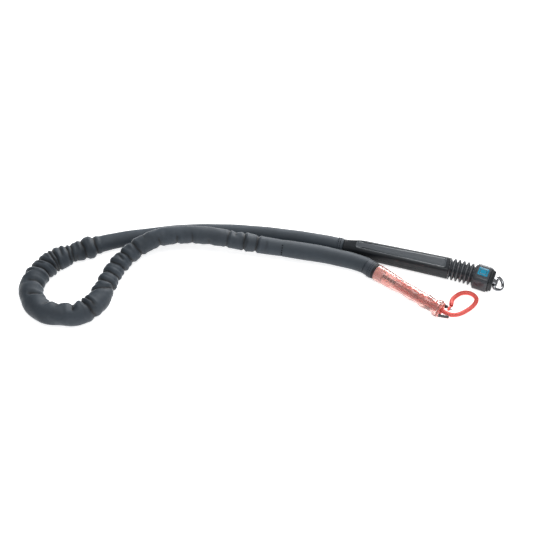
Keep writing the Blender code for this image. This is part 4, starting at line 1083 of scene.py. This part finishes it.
# ------------------------------------------------------------------------------------- head
@dataclass
class Head:
    """Rounded head block with its tile, stepped end cap and swivel parts."""

    length: float = 18.0
    width: float = 27.2
    height: float = 23.6
    corner: float = 5.2
    tile: tuple[float, float] = (12.6, 11.8)
    tile_top: float = 23.95
    cap_back: float = 9.3
    cap_step: float = 11.7
    cap_front: float = 14.6
    cap_insets: tuple[float, float] = (1.3, 2.9)
    recess: float = 6.9
    recess_depth: float = 1.6
    hidden: dict[str, Finish] = field(default_factory=lambda: {
        "head_anchor_pin": ZINC_STEEL, "swivel_bush": SINTERED_BRONZE,
        "thrust_washer": ZINC_STEEL, "stem_nut": ZINC_STEEL})

    def ring(self, x: float, inset: float) -> np.ndarray:
        """Head outline at a station, set in."""
        bend = max(self.corner - inset, 1.2)
        return section(x, rounded_outline(self.width - 2.0 * inset, self.height - 2.0 * inset,
                                          inset, bend, bend, 8))

    def disc(self, x: float, radius: float) -> np.ndarray:
        """Circle with as many points as the head's outline."""
        count = 4 * 9
        angles = np.radians(-90.0 + 360.0 * (np.arange(count) + 0.5) / count)
        return section(x, np.column_stack([radius * np.cos(angles),
                                           self.height / 2.0 + radius * np.sin(angles)]))

    def block(self) -> bpy.types.Mesh:
        """Rounded block between the neck and the cap."""
        half = self.length / 2.0
        back = ((-half, 1.1), (-half + 0.1, 0.75), (-half + 0.3, 0.42), (-half + 0.6, 0.18),
                (-half + 1.1, 0.0))
        front = ((half - 1.2, 0.0), (half - 0.7, 0.12), (half - 0.35, 0.32), (half - 0.1, 0.65),
                 (half, 1.0))
        return skin("head_shell", np.array([self.ring(x, inset) for x, inset in back + front]))

    def cap(self) -> bpy.types.Mesh:
        """Stepped cap with a round recess for the swivel's disc."""
        wide, narrow = self.cap_insets
        steps = ((self.cap_back - 0.25, wide + 0.5), (self.cap_back, wide),
                 (self.cap_step - 0.7, wide), (self.cap_step - 0.3, wide + 0.15),
                 (self.cap_step - 0.05, wide + 0.55), (self.cap_step, narrow - 0.2),
                 (self.cap_step + 0.15, narrow), (self.cap_front - 1.0, narrow + 0.1),
                 (self.cap_front - 0.4, narrow + 0.35), (self.cap_front - 0.08, narrow + 0.85),
                 (self.cap_front, narrow + 1.4))
        rings = [self.ring(x, inset) for x, inset in steps]
        rings += [self.disc(self.cap_front, self.recess + 0.25),
                  self.disc(self.cap_front - 0.2, self.recess),
                  self.disc(self.cap_front - self.recess_depth, self.recess)]
        return skin("stepped_cap", np.array(rings))

    def tile_plate(self, name: str, inset: float, low: float, top: float,
                   bend: float) -> bpy.types.Mesh:
        """Rounded square plate with a soft upper edge."""
        steps = ((0.0, low), (0.0, top - 0.22), (0.07, top - 0.07), (0.22, top), (0.9, top))
        rings = []
        for extra, z in steps:
            cut = inset + extra
            outline = rounded_outline(self.tile[0] - 2.0 * cut, self.tile[1] - 2.0 * cut,
                                      -self.tile[1] / 2.0 + cut, bend, bend, 4)
            rings.append(np.column_stack([outline, np.full(len(outline), z)]))
        return skin(name, np.array(rings))

    def build(self) -> None:
        """Make the block, cap and tile, and dress the swivel parts inside."""
        add_piece("head_shell", self.block(), HEAD_NYLON, "head",
                  ("head_block",))
        add_piece("stepped_cap", self.cap(), NYLON_SHELL, "head",
                  ("head_end_cap",))
        add_piece("enamel_tile",
                  self.tile_plate("enamel_tile", 0.0, self.tile_top - 1.2, self.tile_top, 0.5),
                  TEAL_ENAMEL, "head", ("badge_tile",))
        border = self.tile_border()
        add_piece("tile_border", border, ENAMEL_LINE, "head")
        for node, finish in self.hidden.items():
            dress(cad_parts[node], finish)

    def tile_border(self) -> bpy.types.Mesh:
        """Thin square line of darker enamel that stands just above the tile's face."""
        rings = []
        for cut, z in ((1.9, -0.2), (1.9, 0.03), (1.95, 0.06), (2.65, 0.06), (2.7, 0.03),
                       (2.7, -0.2)):
            outline = rounded_outline(self.tile[0] - 2.0 * cut, self.tile[1] - 2.0 * cut,
                                      -self.tile[1] / 2.0 + cut, 0.5, 0.5, 4)
            rings.append(np.column_stack([outline, np.full(len(outline), self.tile_top + z)]))
        return skin("tile_border", np.array(rings), looped=True)


@dataclass
class SwivelRing:
    """Eye bolt that turns in the head and the steel ring that swings on it."""

    axis_height: float = 11.8
    disc_start: float = 13.3
    disc_end: float = 14.9
    disc_radius: float = 6.6
    stem_start: float = -1.0
    stem_radius: float = 2.9
    bar: float = 17.15              # place of the ring's straight bar along X
    wire: float = 2.15
    hole: float = 2.4
    lug_radius: float = 3.1
    lug_half: float = 4.8
    bow: float = 8.9
    reach: float = 10.9
    fillet: float = 2.7
    droop: float = math.radians(28.0)

    def lug(self) -> bpy.types.Mesh:
        """Lug with the ring's hole through it, rounded on its edges."""
        count = 48
        angles = 2.0 * math.pi * np.arange(count) / count
        hole = np.column_stack([np.cos(angles), np.sin(angles)])
        outer = hole.copy()
        back = hole[:, 0] < 0.0
        reach = (self.bar - self.disc_end + 0.8) / self.lug_radius
        stretch = np.abs(hole[back, 1]) ** 4
        outer[back, 0] = -reach * (1.0 - stretch) + hole[back, 0] * stretch
        outer[back, 1] = np.sign(hole[back, 1]) * np.minimum(1.0, np.abs(hole[back, 1]) * 1.25)
        half, soft = self.lug_half, 0.45
        rings = []
        for y, radius, shape in ((-half, self.lug_radius - soft, outer),
                                 (-half + 0.15, self.lug_radius - 0.15, outer),
                                 (-half + soft, self.lug_radius, outer),
                                 (half - soft, self.lug_radius, outer),
                                 (half - 0.15, self.lug_radius - 0.15, outer),
                                 (half, self.lug_radius - soft, outer),
                                 (half, self.hole, hole), (-half, self.hole, hole)):
            rings.append(np.column_stack([self.bar + shape[:, 0] * radius, np.full(count, y),
                                          self.axis_height + shape[:, 1] * radius]))
        return skin("lug", np.array(rings)[:, ::-1], looped=True)

    def ring_path(self) -> np.ndarray:
        """Centre line of the ring: straight bar, filleted corners and round bow."""
        centre = self.reach - self.bow
        tight = self.bow - self.fillet
        rise = math.sqrt(tight ** 2 - (self.fillet - centre) ** 2)
        swing = math.atan2(rise, self.fillet - centre)
        path = [(0.0, y) for y in np.linspace(-rise, rise, 13)]
        path += [(self.fillet + self.fillet * math.cos(a), rise + self.fillet * math.sin(a))
                 for a in np.linspace(math.pi, swing, 15)[1:]]
        path += [(centre + self.bow * math.cos(a), self.bow * math.sin(a))
                 for a in np.linspace(swing, -swing, 49)[1:]]
        path += [(self.fillet + self.fillet * math.cos(a), -rise + self.fillet * math.sin(a))
                 for a in np.linspace(-swing, -math.pi, 15)[1:-1]]
        return np.array([(x * math.cos(self.droop), y, -x * math.sin(self.droop))
                         for x, y in path])

    def build(self) -> None:
        """Make the eye bolt and the ring."""
        shaft = turned("shaft", [(self.stem_start, self.stem_radius - 0.4),
                                 (self.stem_start + 0.4, self.stem_radius),
                                 (self.disc_start, self.stem_radius),
                                 (self.disc_start, self.disc_radius - 0.2),
                                 (self.disc_start + 0.2, self.disc_radius),
                                 (self.disc_end - 0.45, self.disc_radius),
                                 (self.disc_end - 0.15, self.disc_radius - 0.15),
                                 (self.disc_end, self.disc_radius - 0.5)])
        shaft.transform(Matrix.Translation((0.0, 0.0, self.axis_height * MM)))
        add_piece("eye_bolt", joined("eye_bolt", [shaft, self.lug()]), POLISHED_STEEL,
                  "swivel", ("swivel_eye",))
        path = self.ring_path()
        count = len(path)
        travel = unit(np.roll(path, -1, axis=0) - np.roll(path, 1, axis=0))
        up = np.array([math.sin(self.droop), 0.0, math.cos(self.droop)])
        side = np.cross(up, travel)
        angles = 2.0 * math.pi * np.arange(28) / 28.0
        rings = (path[:, None, :]
                 + self.wire * (side[:, None, :] * np.cos(angles)[None, :, None]
                                + up[None, None, :] * np.sin(angles)[None, :, None]))
        rings += np.array([self.bar, 0.0, self.axis_height])
        add_piece("steel_ring", skin("steel_ring", rings, looped=True), POLISHED_STEEL,
                  "ring", ("tow_ring",))
        LOG.info("ring wire drawn in %d steps", count)


# ---------------------------------------------------------------------------------- release
@dataclass
class SlidingGrip:
    """Cast grip with its liner, mouth ring, pin and tongue, all of which slide together."""

    length: float = 92.4
    gap: float = 0.3
    bore: float = 6.5
    collar_bore: float = 8.9
    collar_radius: float = 10.6
    collar_length: float = 7.0
    wide_bore_end: float = 23.0
    bore_taper: float = 3.0
    flange_radius: float = 10.9
    flange_thickness: float = 5.4
    waves: tuple[tuple[float, float], ...] = (
        (0.325, 9.4), (0.422, 8.2), (0.552, 8.9), (0.666, 8.2), (0.758, 9.4), (0.887, 8.3))
    liner_start: float = 29.3
    liner_end: float = 94.2
    liner_radius: float = 6.2
    liner_wall: float = 1.0
    ring_radius: float = 9.6
    ring_thickness: float = 2.2
    pin_offset: float = 8.0
    pin_radius: float = 0.9
    pin_length: float = 10.5
    tongue_length: float = 13.0
    tongue_yaw: float = math.radians(26.0)

    def outside(self) -> list[tuple[float, float]]:
        """Outer profile: flared collar, three finger waves and the end flange."""
        knots = [(self.gap, self.collar_radius - 0.45), (0.5, self.collar_radius - 0.15),
                 (1.1, self.collar_radius), (self.collar_length - 1.5, self.collar_radius - 0.1),
                 (self.collar_length, self.collar_radius - 0.2)]
        swells = [(share * self.length, radius) for share, radius in self.waves]
        anchors = [(self.collar_length, self.collar_radius - 0.2),
                   (self.collar_length + 9.0, self.collar_radius - 0.7)] + swells
        for (x, radius), (next_x, next_radius) in zip(anchors, anchors[1:]):
            for i in range(1, 11):
                share = (1.0 - math.cos(math.pi * i / 10.0)) / 2.0
                knots.append((x + (next_x - x) * i / 10.0,
                              radius + (next_radius - radius) * share))
        flange = self.length - self.flange_thickness
        knots += [(flange - 1.6, swells[-1][1] + 0.5), (flange - 0.7, self.flange_radius - 1.5),
                  (flange, self.flange_radius - 0.7), (flange + 0.8, self.flange_radius),
                  (self.length - 0.9, self.flange_radius),
                  (self.length - 0.3, self.flange_radius - 0.25),
                  (self.length, self.flange_radius - 0.7)]
        return knots

    def build(self) -> None:
        """Make every piece that slides."""
        inside = [(self.length, self.bore + 0.3), (self.length - 0.4, self.bore),
                  (self.wide_bore_end + self.bore_taper, self.bore),
                  (self.wide_bore_end, self.collar_bore), (1.0, self.collar_bore),
                  (self.gap, self.collar_bore + 0.4)]
        grip = turned("urethane_grip", self.outside() + inside, hollow=True, sides=72)
        bore = self.liner_radius - self.liner_wall
        liner = turned("urethane_liner", softened(
            [(self.liner_start, 2.4), (self.liner_start, self.liner_radius),
             (self.liner_end, self.liner_radius), (self.liner_end, bore),
             (self.liner_start + 2.0, bore), (self.liner_start + 2.0, 2.4)], 0.3), hollow=True)
        start = self.length + self.gap
        end = start + self.ring_thickness
        mouth = turned("mouth_collar", softened(
            [(start, self.bore), (start, self.ring_radius), (end, self.ring_radius),
             (end, self.bore)], 0.6), hollow=True)
        boss = turned("pin_socket", softened(
            [(end + 0.3, 1.2), (end + 0.3, 2.2), (end + 2.9, 2.2), (end + 2.9, 1.2)], 0.3),
            hollow=True, sides=32)
        pin = turned("release_pin", [(start + 1.4, 0.6), (start + 1.6, self.pin_radius),
                                     (start + 1.4 + self.pin_length - 1.2, self.pin_radius),
                                     (start + 1.4 + self.pin_length - 0.4, 0.7),
                                     (start + 1.4 + self.pin_length, 0.3)], sides=24)
        for mesh in (boss, pin):
            mesh.transform(Matrix.Translation((0.0, self.pin_offset * MM, 0.0)))
        for name, mesh, finish, slot, node in (
                ("urethane_grip", grip, CLEAR_URETHANE, "clear_red", "grip_sleeve"),
                ("urethane_liner", liner, DEEP_URETHANE, "deep_red", "liner_tube"),
                ("mouth_collar", mouth, DEEP_URETHANE, "deep_red", "mouth_ring"),
                ("pin_socket", boss, BLACK_ACETAL, "shell_black", "pin_boss"),
                ("release_pin", pin, POLISHED_STEEL, "screw_steel", "trigger_pin"),
                ("toothed_guide", self.tongue(end + 0.3), BLACK_ACETAL, "shell_black",
                 "toothed_tongue")):
            mesh.transform(RELEASE_LINE.matrix())
            add_piece(name, mesh, finish, "release", (node,))

    def tongue(self, start: float) -> bpy.types.Mesh:
        """Toothed tongue beside the rope, turned in towards it."""
        pitch = self.tongue_length / 3.0
        outline = [(0.0, 1.65), (0.15, 1.8)]
        for i in range(3):
            tooth = pitch * i
            outline += [(tooth + 0.5 * pitch, 1.8), (tooth + 0.56 * pitch, 1.72),
                        (tooth + 0.68 * pitch, 0.95), (tooth + 0.74 * pitch, 0.88),
                        (tooth + 0.95 * pitch, 0.9)]
        outline += [(self.tongue_length, 0.6), (self.tongue_length - 0.4, 0.1),
                    (self.tongue_length - 0.8, 0.0), (0.2, 0.0), (0.0, 0.2)]
        shape = np.array(outline)
        middle = shape.mean(axis=0)
        rings = []
        for z, shrink in ((-2.3, 0.35), (-2.15, 0.1), (-1.9, 0.0), (1.9, 0.0), (2.15, 0.1),
                          (2.3, 0.35)):
            away = shape - middle
            size = np.maximum(np.linalg.norm(away, axis=1, keepdims=True), 0.5)
            drawn = middle + away * (1.0 - np.minimum(0.6, shrink / size))
            rings.append(np.column_stack([drawn, np.full(len(shape), z)]))
        mesh = skin("toothed_guide", np.array(rings)[::-1])
        root = Vector((start + 1.8 * math.sin(self.tongue_yaw), -self.ring_radius, 0.0)) * MM
        mesh.transform(Matrix.Translation(root) @ Matrix.Rotation(self.tongue_yaw, 4, "Z"))
        return mesh


@dataclass
class ReleaseCore:
    """Ferrule, rod, crimp and spring that stay with the lead when the grip slides."""

    spring_start: float = 11.8
    spring_end: float = 28.5
    spring_radius: float = 3.9
    spring_wire: float = 0.5
    spring_turns: int = 4
    hidden: dict[str, Finish] = field(default_factory=lambda: {
        "front_ferrule": PALE_ACETAL, "bungee_tail_front": BLACK_WEBBING})

    def build(self) -> None:
        """Make the rod, crimp and spring, and dress the ferrule."""
        rod = turned("acetal_rod", [(0.0, 1.5), (0.3, 1.8), (55.6, 1.8), (56.0, 1.4)], sides=32)
        crimp = turned("rope_ferrule", softened(
            [(51.5, 3.05), (51.5, 4.0), (60.5, 4.0), (60.5, 3.05)], 0.5), hollow=True)
        for name, mesh, node in (("acetal_rod", rod, "release_rod"),
                                 ("rope_ferrule", crimp, "rope_crimp")):
            mesh.transform(RELEASE_LINE.matrix())
            add_piece(name, mesh, BLACK_ACETAL, "lead", (node,))
        coil = skin("push_spring", self.coil())
        coil.transform(RELEASE_LINE.matrix())
        spring = add_piece("push_spring", coil, ZINC_STEEL, "lead",
                           ("return_spring",))
        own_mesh(spring)
        for node, finish in self.hidden.items():
            dress(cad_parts[node], finish)

    def coil(self) -> np.ndarray:
        """Rings of the coil spring in the release's frame."""
        share = np.linspace(0.0, 1.0, self.spring_turns * 36 + 1)
        angles = 2.0 * math.pi * self.spring_turns * share
        path = np.column_stack([self.spring_start + (self.spring_end - self.spring_start) * share,
                                self.spring_radius * np.cos(angles),
                                self.spring_radius * np.sin(angles)])
        travel = unit(np.gradient(path, axis=0))
        out = np.column_stack([np.zeros_like(share), np.cos(angles), np.sin(angles)])
        side = np.cross(travel, out)
        turns = 2.0 * math.pi * np.arange(10) / 10.0
        return (path[:, None, :]
                + self.spring_wire * (out[:, None, :] * np.cos(turns)[None, :, None]
                                      + side[:, None, :] * np.sin(turns)[None, :, None]))


@dataclass
class RopeLoop:
    """Braided rope from the crimp, out of the mouth, round its loop and onto the pin."""

    route_points: tuple[tuple[float, float, float], ...] = (
        (-20.0, -66.4, 9.4), (-10.8, -60.0, 6.2), (-3.4, -49.0, 3.8), (2.2, -37.0, 2.9),
        (2.6, -27.2, 2.8), (-3.2, -22.4, 2.8), (-10.4, -22.2, 2.8), (-17.4, -26.0, 2.9),
        (-22.0, -33.2, 3.5), (-24.2, -42.0, 5.2))
    radius: float = 2.75
    start: float = 56.3
    mouth: float = 94.2
    eye_station: float = 100.6
    eye_offset: float = 8.0
    eye_radius: float = 3.2
    strands: int = 6                # bundles that run each way
    plait: float = 7.2              # length in which a bundle passes one neighbour, twice over
    relief: float = 0.5
    whip_start: float = 6.5         # places of the whipping, back from the rope's end
    whip_stop: float = 1.2
    whip_radius: float = 2.45
    twine_pitch: float = 0.9
    twine_relief: float = 0.16
    eye_height: float = 2.35
    eye_wire: float = 0.85

    def route(self) -> np.ndarray:
        """Centre line of the rope, in mm."""
        step = (self.mouth - self.start) / 3.0
        inside = [RELEASE_LINE.place(self.start + step * i) for i in range(4)]
        tip = RELEASE_LINE.place(self.eye_station,
                                 self.eye_offset + self.eye_radius + self.radius / 2.0)
        return smooth_route(inside + list(self.route_points) + [tip], 0.45)

    def build(self) -> None:
        """Make the braided rope, its whipping and the eye round the pin."""
        points = self.route()
        along = walked_mm(points)
        sides = 48
        angles = tube_angles(sides)
        turn = self.strands * angles[None, :] / 2.0
        travel = math.pi * along[:, None] / self.plait * 2.0
        one = np.cos(turn + travel)
        other = np.cos(turn - travel)
        one, other = np.abs(one), np.abs(other)
        crown = np.maximum(one, other) - 0.5 * np.minimum(one, other)
        # Painted shade in the gaps between the bundles, carried by the fold attribute.
        gap = 1.0 - smooth_step(0.3, 0.75, crown)
        radii = self.radius - 0.12 + self.relief * (crown - 0.55)
        taper = 1.0 - 0.28 * smooth_step(along[-1] - 6.0, along[-1] - 1.0, along)
        radii = radii * taper[:, None]
        rings = tube_rings(points, radii, (0.0, 0.0, 1.0))
        rings[..., 2] = np.maximum(rings[..., 2], 0.1)
        rope = add_piece("braided_rope", skin("braided_rope", rings,
                                              lay=(along, 2.0 * math.pi * self.radius),
                                              fold=gap),
                         ROPE_COVER, "lead", ("rope_loop",))
        pieces = [self.whipping(points, along), self.eye()]
        LOG.info("rope length %.1f mm", along[-1])

    def whipping(self, points: np.ndarray, along: np.ndarray) -> bpy.types.Object:
        """Twine wound round the rope's end where it is sewn into its eye."""
        near = (along > along[-1] - self.whip_start) & (along < along[-1] - self.whip_stop)
        spots = points[near]
        sides = 40
        wound = self.twine_relief * np.cos(2.0 * math.pi * along[near] / self.twine_pitch)
        radii = np.repeat((self.whip_radius + wound)[:, None], sides, 1)
        rings = tube_rings(spots, radii, (0.0, 0.0, 1.0))
        return add_piece("rope_whipping", skin("rope_whipping", rings), WHIPPING,
                         "lead")

    def eye(self) -> bpy.types.Object:
        """Small sewn eye round the release pin."""
        profile = [(self.eye_station + 1.5 * math.cos(a) * 0.95,
                    self.eye_height + self.eye_wire * math.sin(a))
                   for a in np.linspace(math.pi, -math.pi, 17)[:-1]]
        mesh = turned("rope_eye", profile, hollow=True, sides=48)
        mesh.transform(Matrix.Translation((0.0, self.eye_offset * MM, 0.0)))
        mesh.transform(RELEASE_LINE.matrix())
        return add_piece("rope_eye", mesh, ROPE_COVER, "lead", ("loop_eye",))


# ----------------------------------------------------------------------------------- studio
@dataclass
class Studio:
    """White light table, large soft lights and the camera."""

    camera_at: tuple[float, float, float] = (0.1156, -0.9509, 1.2563)
    look_at: tuple[float, float, float] = (-0.2543, -0.0795, 0.0)
    lens: float = 85.0
    table: float = 20.0             # side in m, so that its edge lies far off in low views
    # name, place, aim, size in m, power in W
    boxes: tuple[tuple[str, tuple[float, float, float], tuple[float, float, float], float, float],
                 ...] = (
        ("back_softbox", (-0.2, 1.5, 0.62), (-0.2, -0.05, 0.0), 0.9, 34.0),
        ("top_softbox", (0.05, -0.1, 1.7), (-0.15, -0.1, 0.0), 1.0, 13.0),
        ("front_fill", (0.1, -1.6, 0.7), (-0.2, -0.1, 0.0), 1.2, 3.0))
    sky: float = 0.42
    horizon: float = 0.08

    def build(self) -> None:
        """Make the table, lights, world and camera."""
        half = self.table / 2.0
        sheet = bpy.data.meshes.new("light_table")
        sheet.from_pydata([(-half, -half, 0.0), (half, -half, 0.0), (half, half, 0.0),
                           (-half, half, 0.0)], [], [[0, 1, 2, 3]])
        floor = bpy.data.objects.new("light_table", sheet)
        bpy.context.collection.objects.link(floor)
        dress(floor, OPAL_TABLE)
        for name, place, aim, size, power in self.boxes:
            light = bpy.data.lights.new(name, "AREA")
            light.shape = "SQUARE"
            light.size = size
            light.energy = power
            item = bpy.data.objects.new(name, light)
            self.point(item, place, aim)
        world = bpy.data.worlds.new("studio")
        world.use_nodes = True
        tree = world.node_tree
        way = add_node(tree, "ShaderNodeTexCoord").outputs["Generated"]
        rise = add_node(tree, "ShaderNodeSeparateXYZ", links={"Vector": way}).outputs["Z"]
        glow = add_node(tree, "ShaderNodeMapRange", {"From Min": 0.05, "From Max": 0.6,
                                                     "To Min": self.horizon, "To Max": self.sky},
                        {"Value": rise}).outputs["Result"]
        tree.links.new(glow, tree.nodes["Background"].inputs["Strength"])
        tree.nodes["Background"].inputs["Color"].default_value = (1.0, 1.0, 1.0, 1.0)
        scene = bpy.context.scene
        scene.world = world
        scene.view_settings.view_transform = "Standard"
        camera = bpy.data.cameras.new("camera")
        camera.lens = self.lens
        item = bpy.data.objects.new("camera", camera)
        self.point(item, self.camera_at, self.look_at)
        scene.camera = item

    def point(self, item: bpy.types.Object, place: Sequence[float],
              aim: Sequence[float]) -> None:
        """Put an object somewhere and turn its -Z towards a point."""
        bpy.context.collection.objects.link(item)
        item.location = place
        item.rotation_euler = (Vector(aim) - Vector(place)).to_track_quat("-Z", "Y").to_euler()


def main() -> None:
    """Build every sub-assembly, then the studio."""
    logging.basicConfig(level=logging.INFO, format="%(name)s: %(message)s")
    for part in (Lead(), FrontCuff(), HandleBody(), BellowsNeck(), Head(), SwivelRing(),
                 SlidingGrip(), ReleaseCore(), RopeLoop(), Studio()):
        LOG.info("building %s", type(part).__name__)
        part.build()


if __name__ == "__main__":
    main()
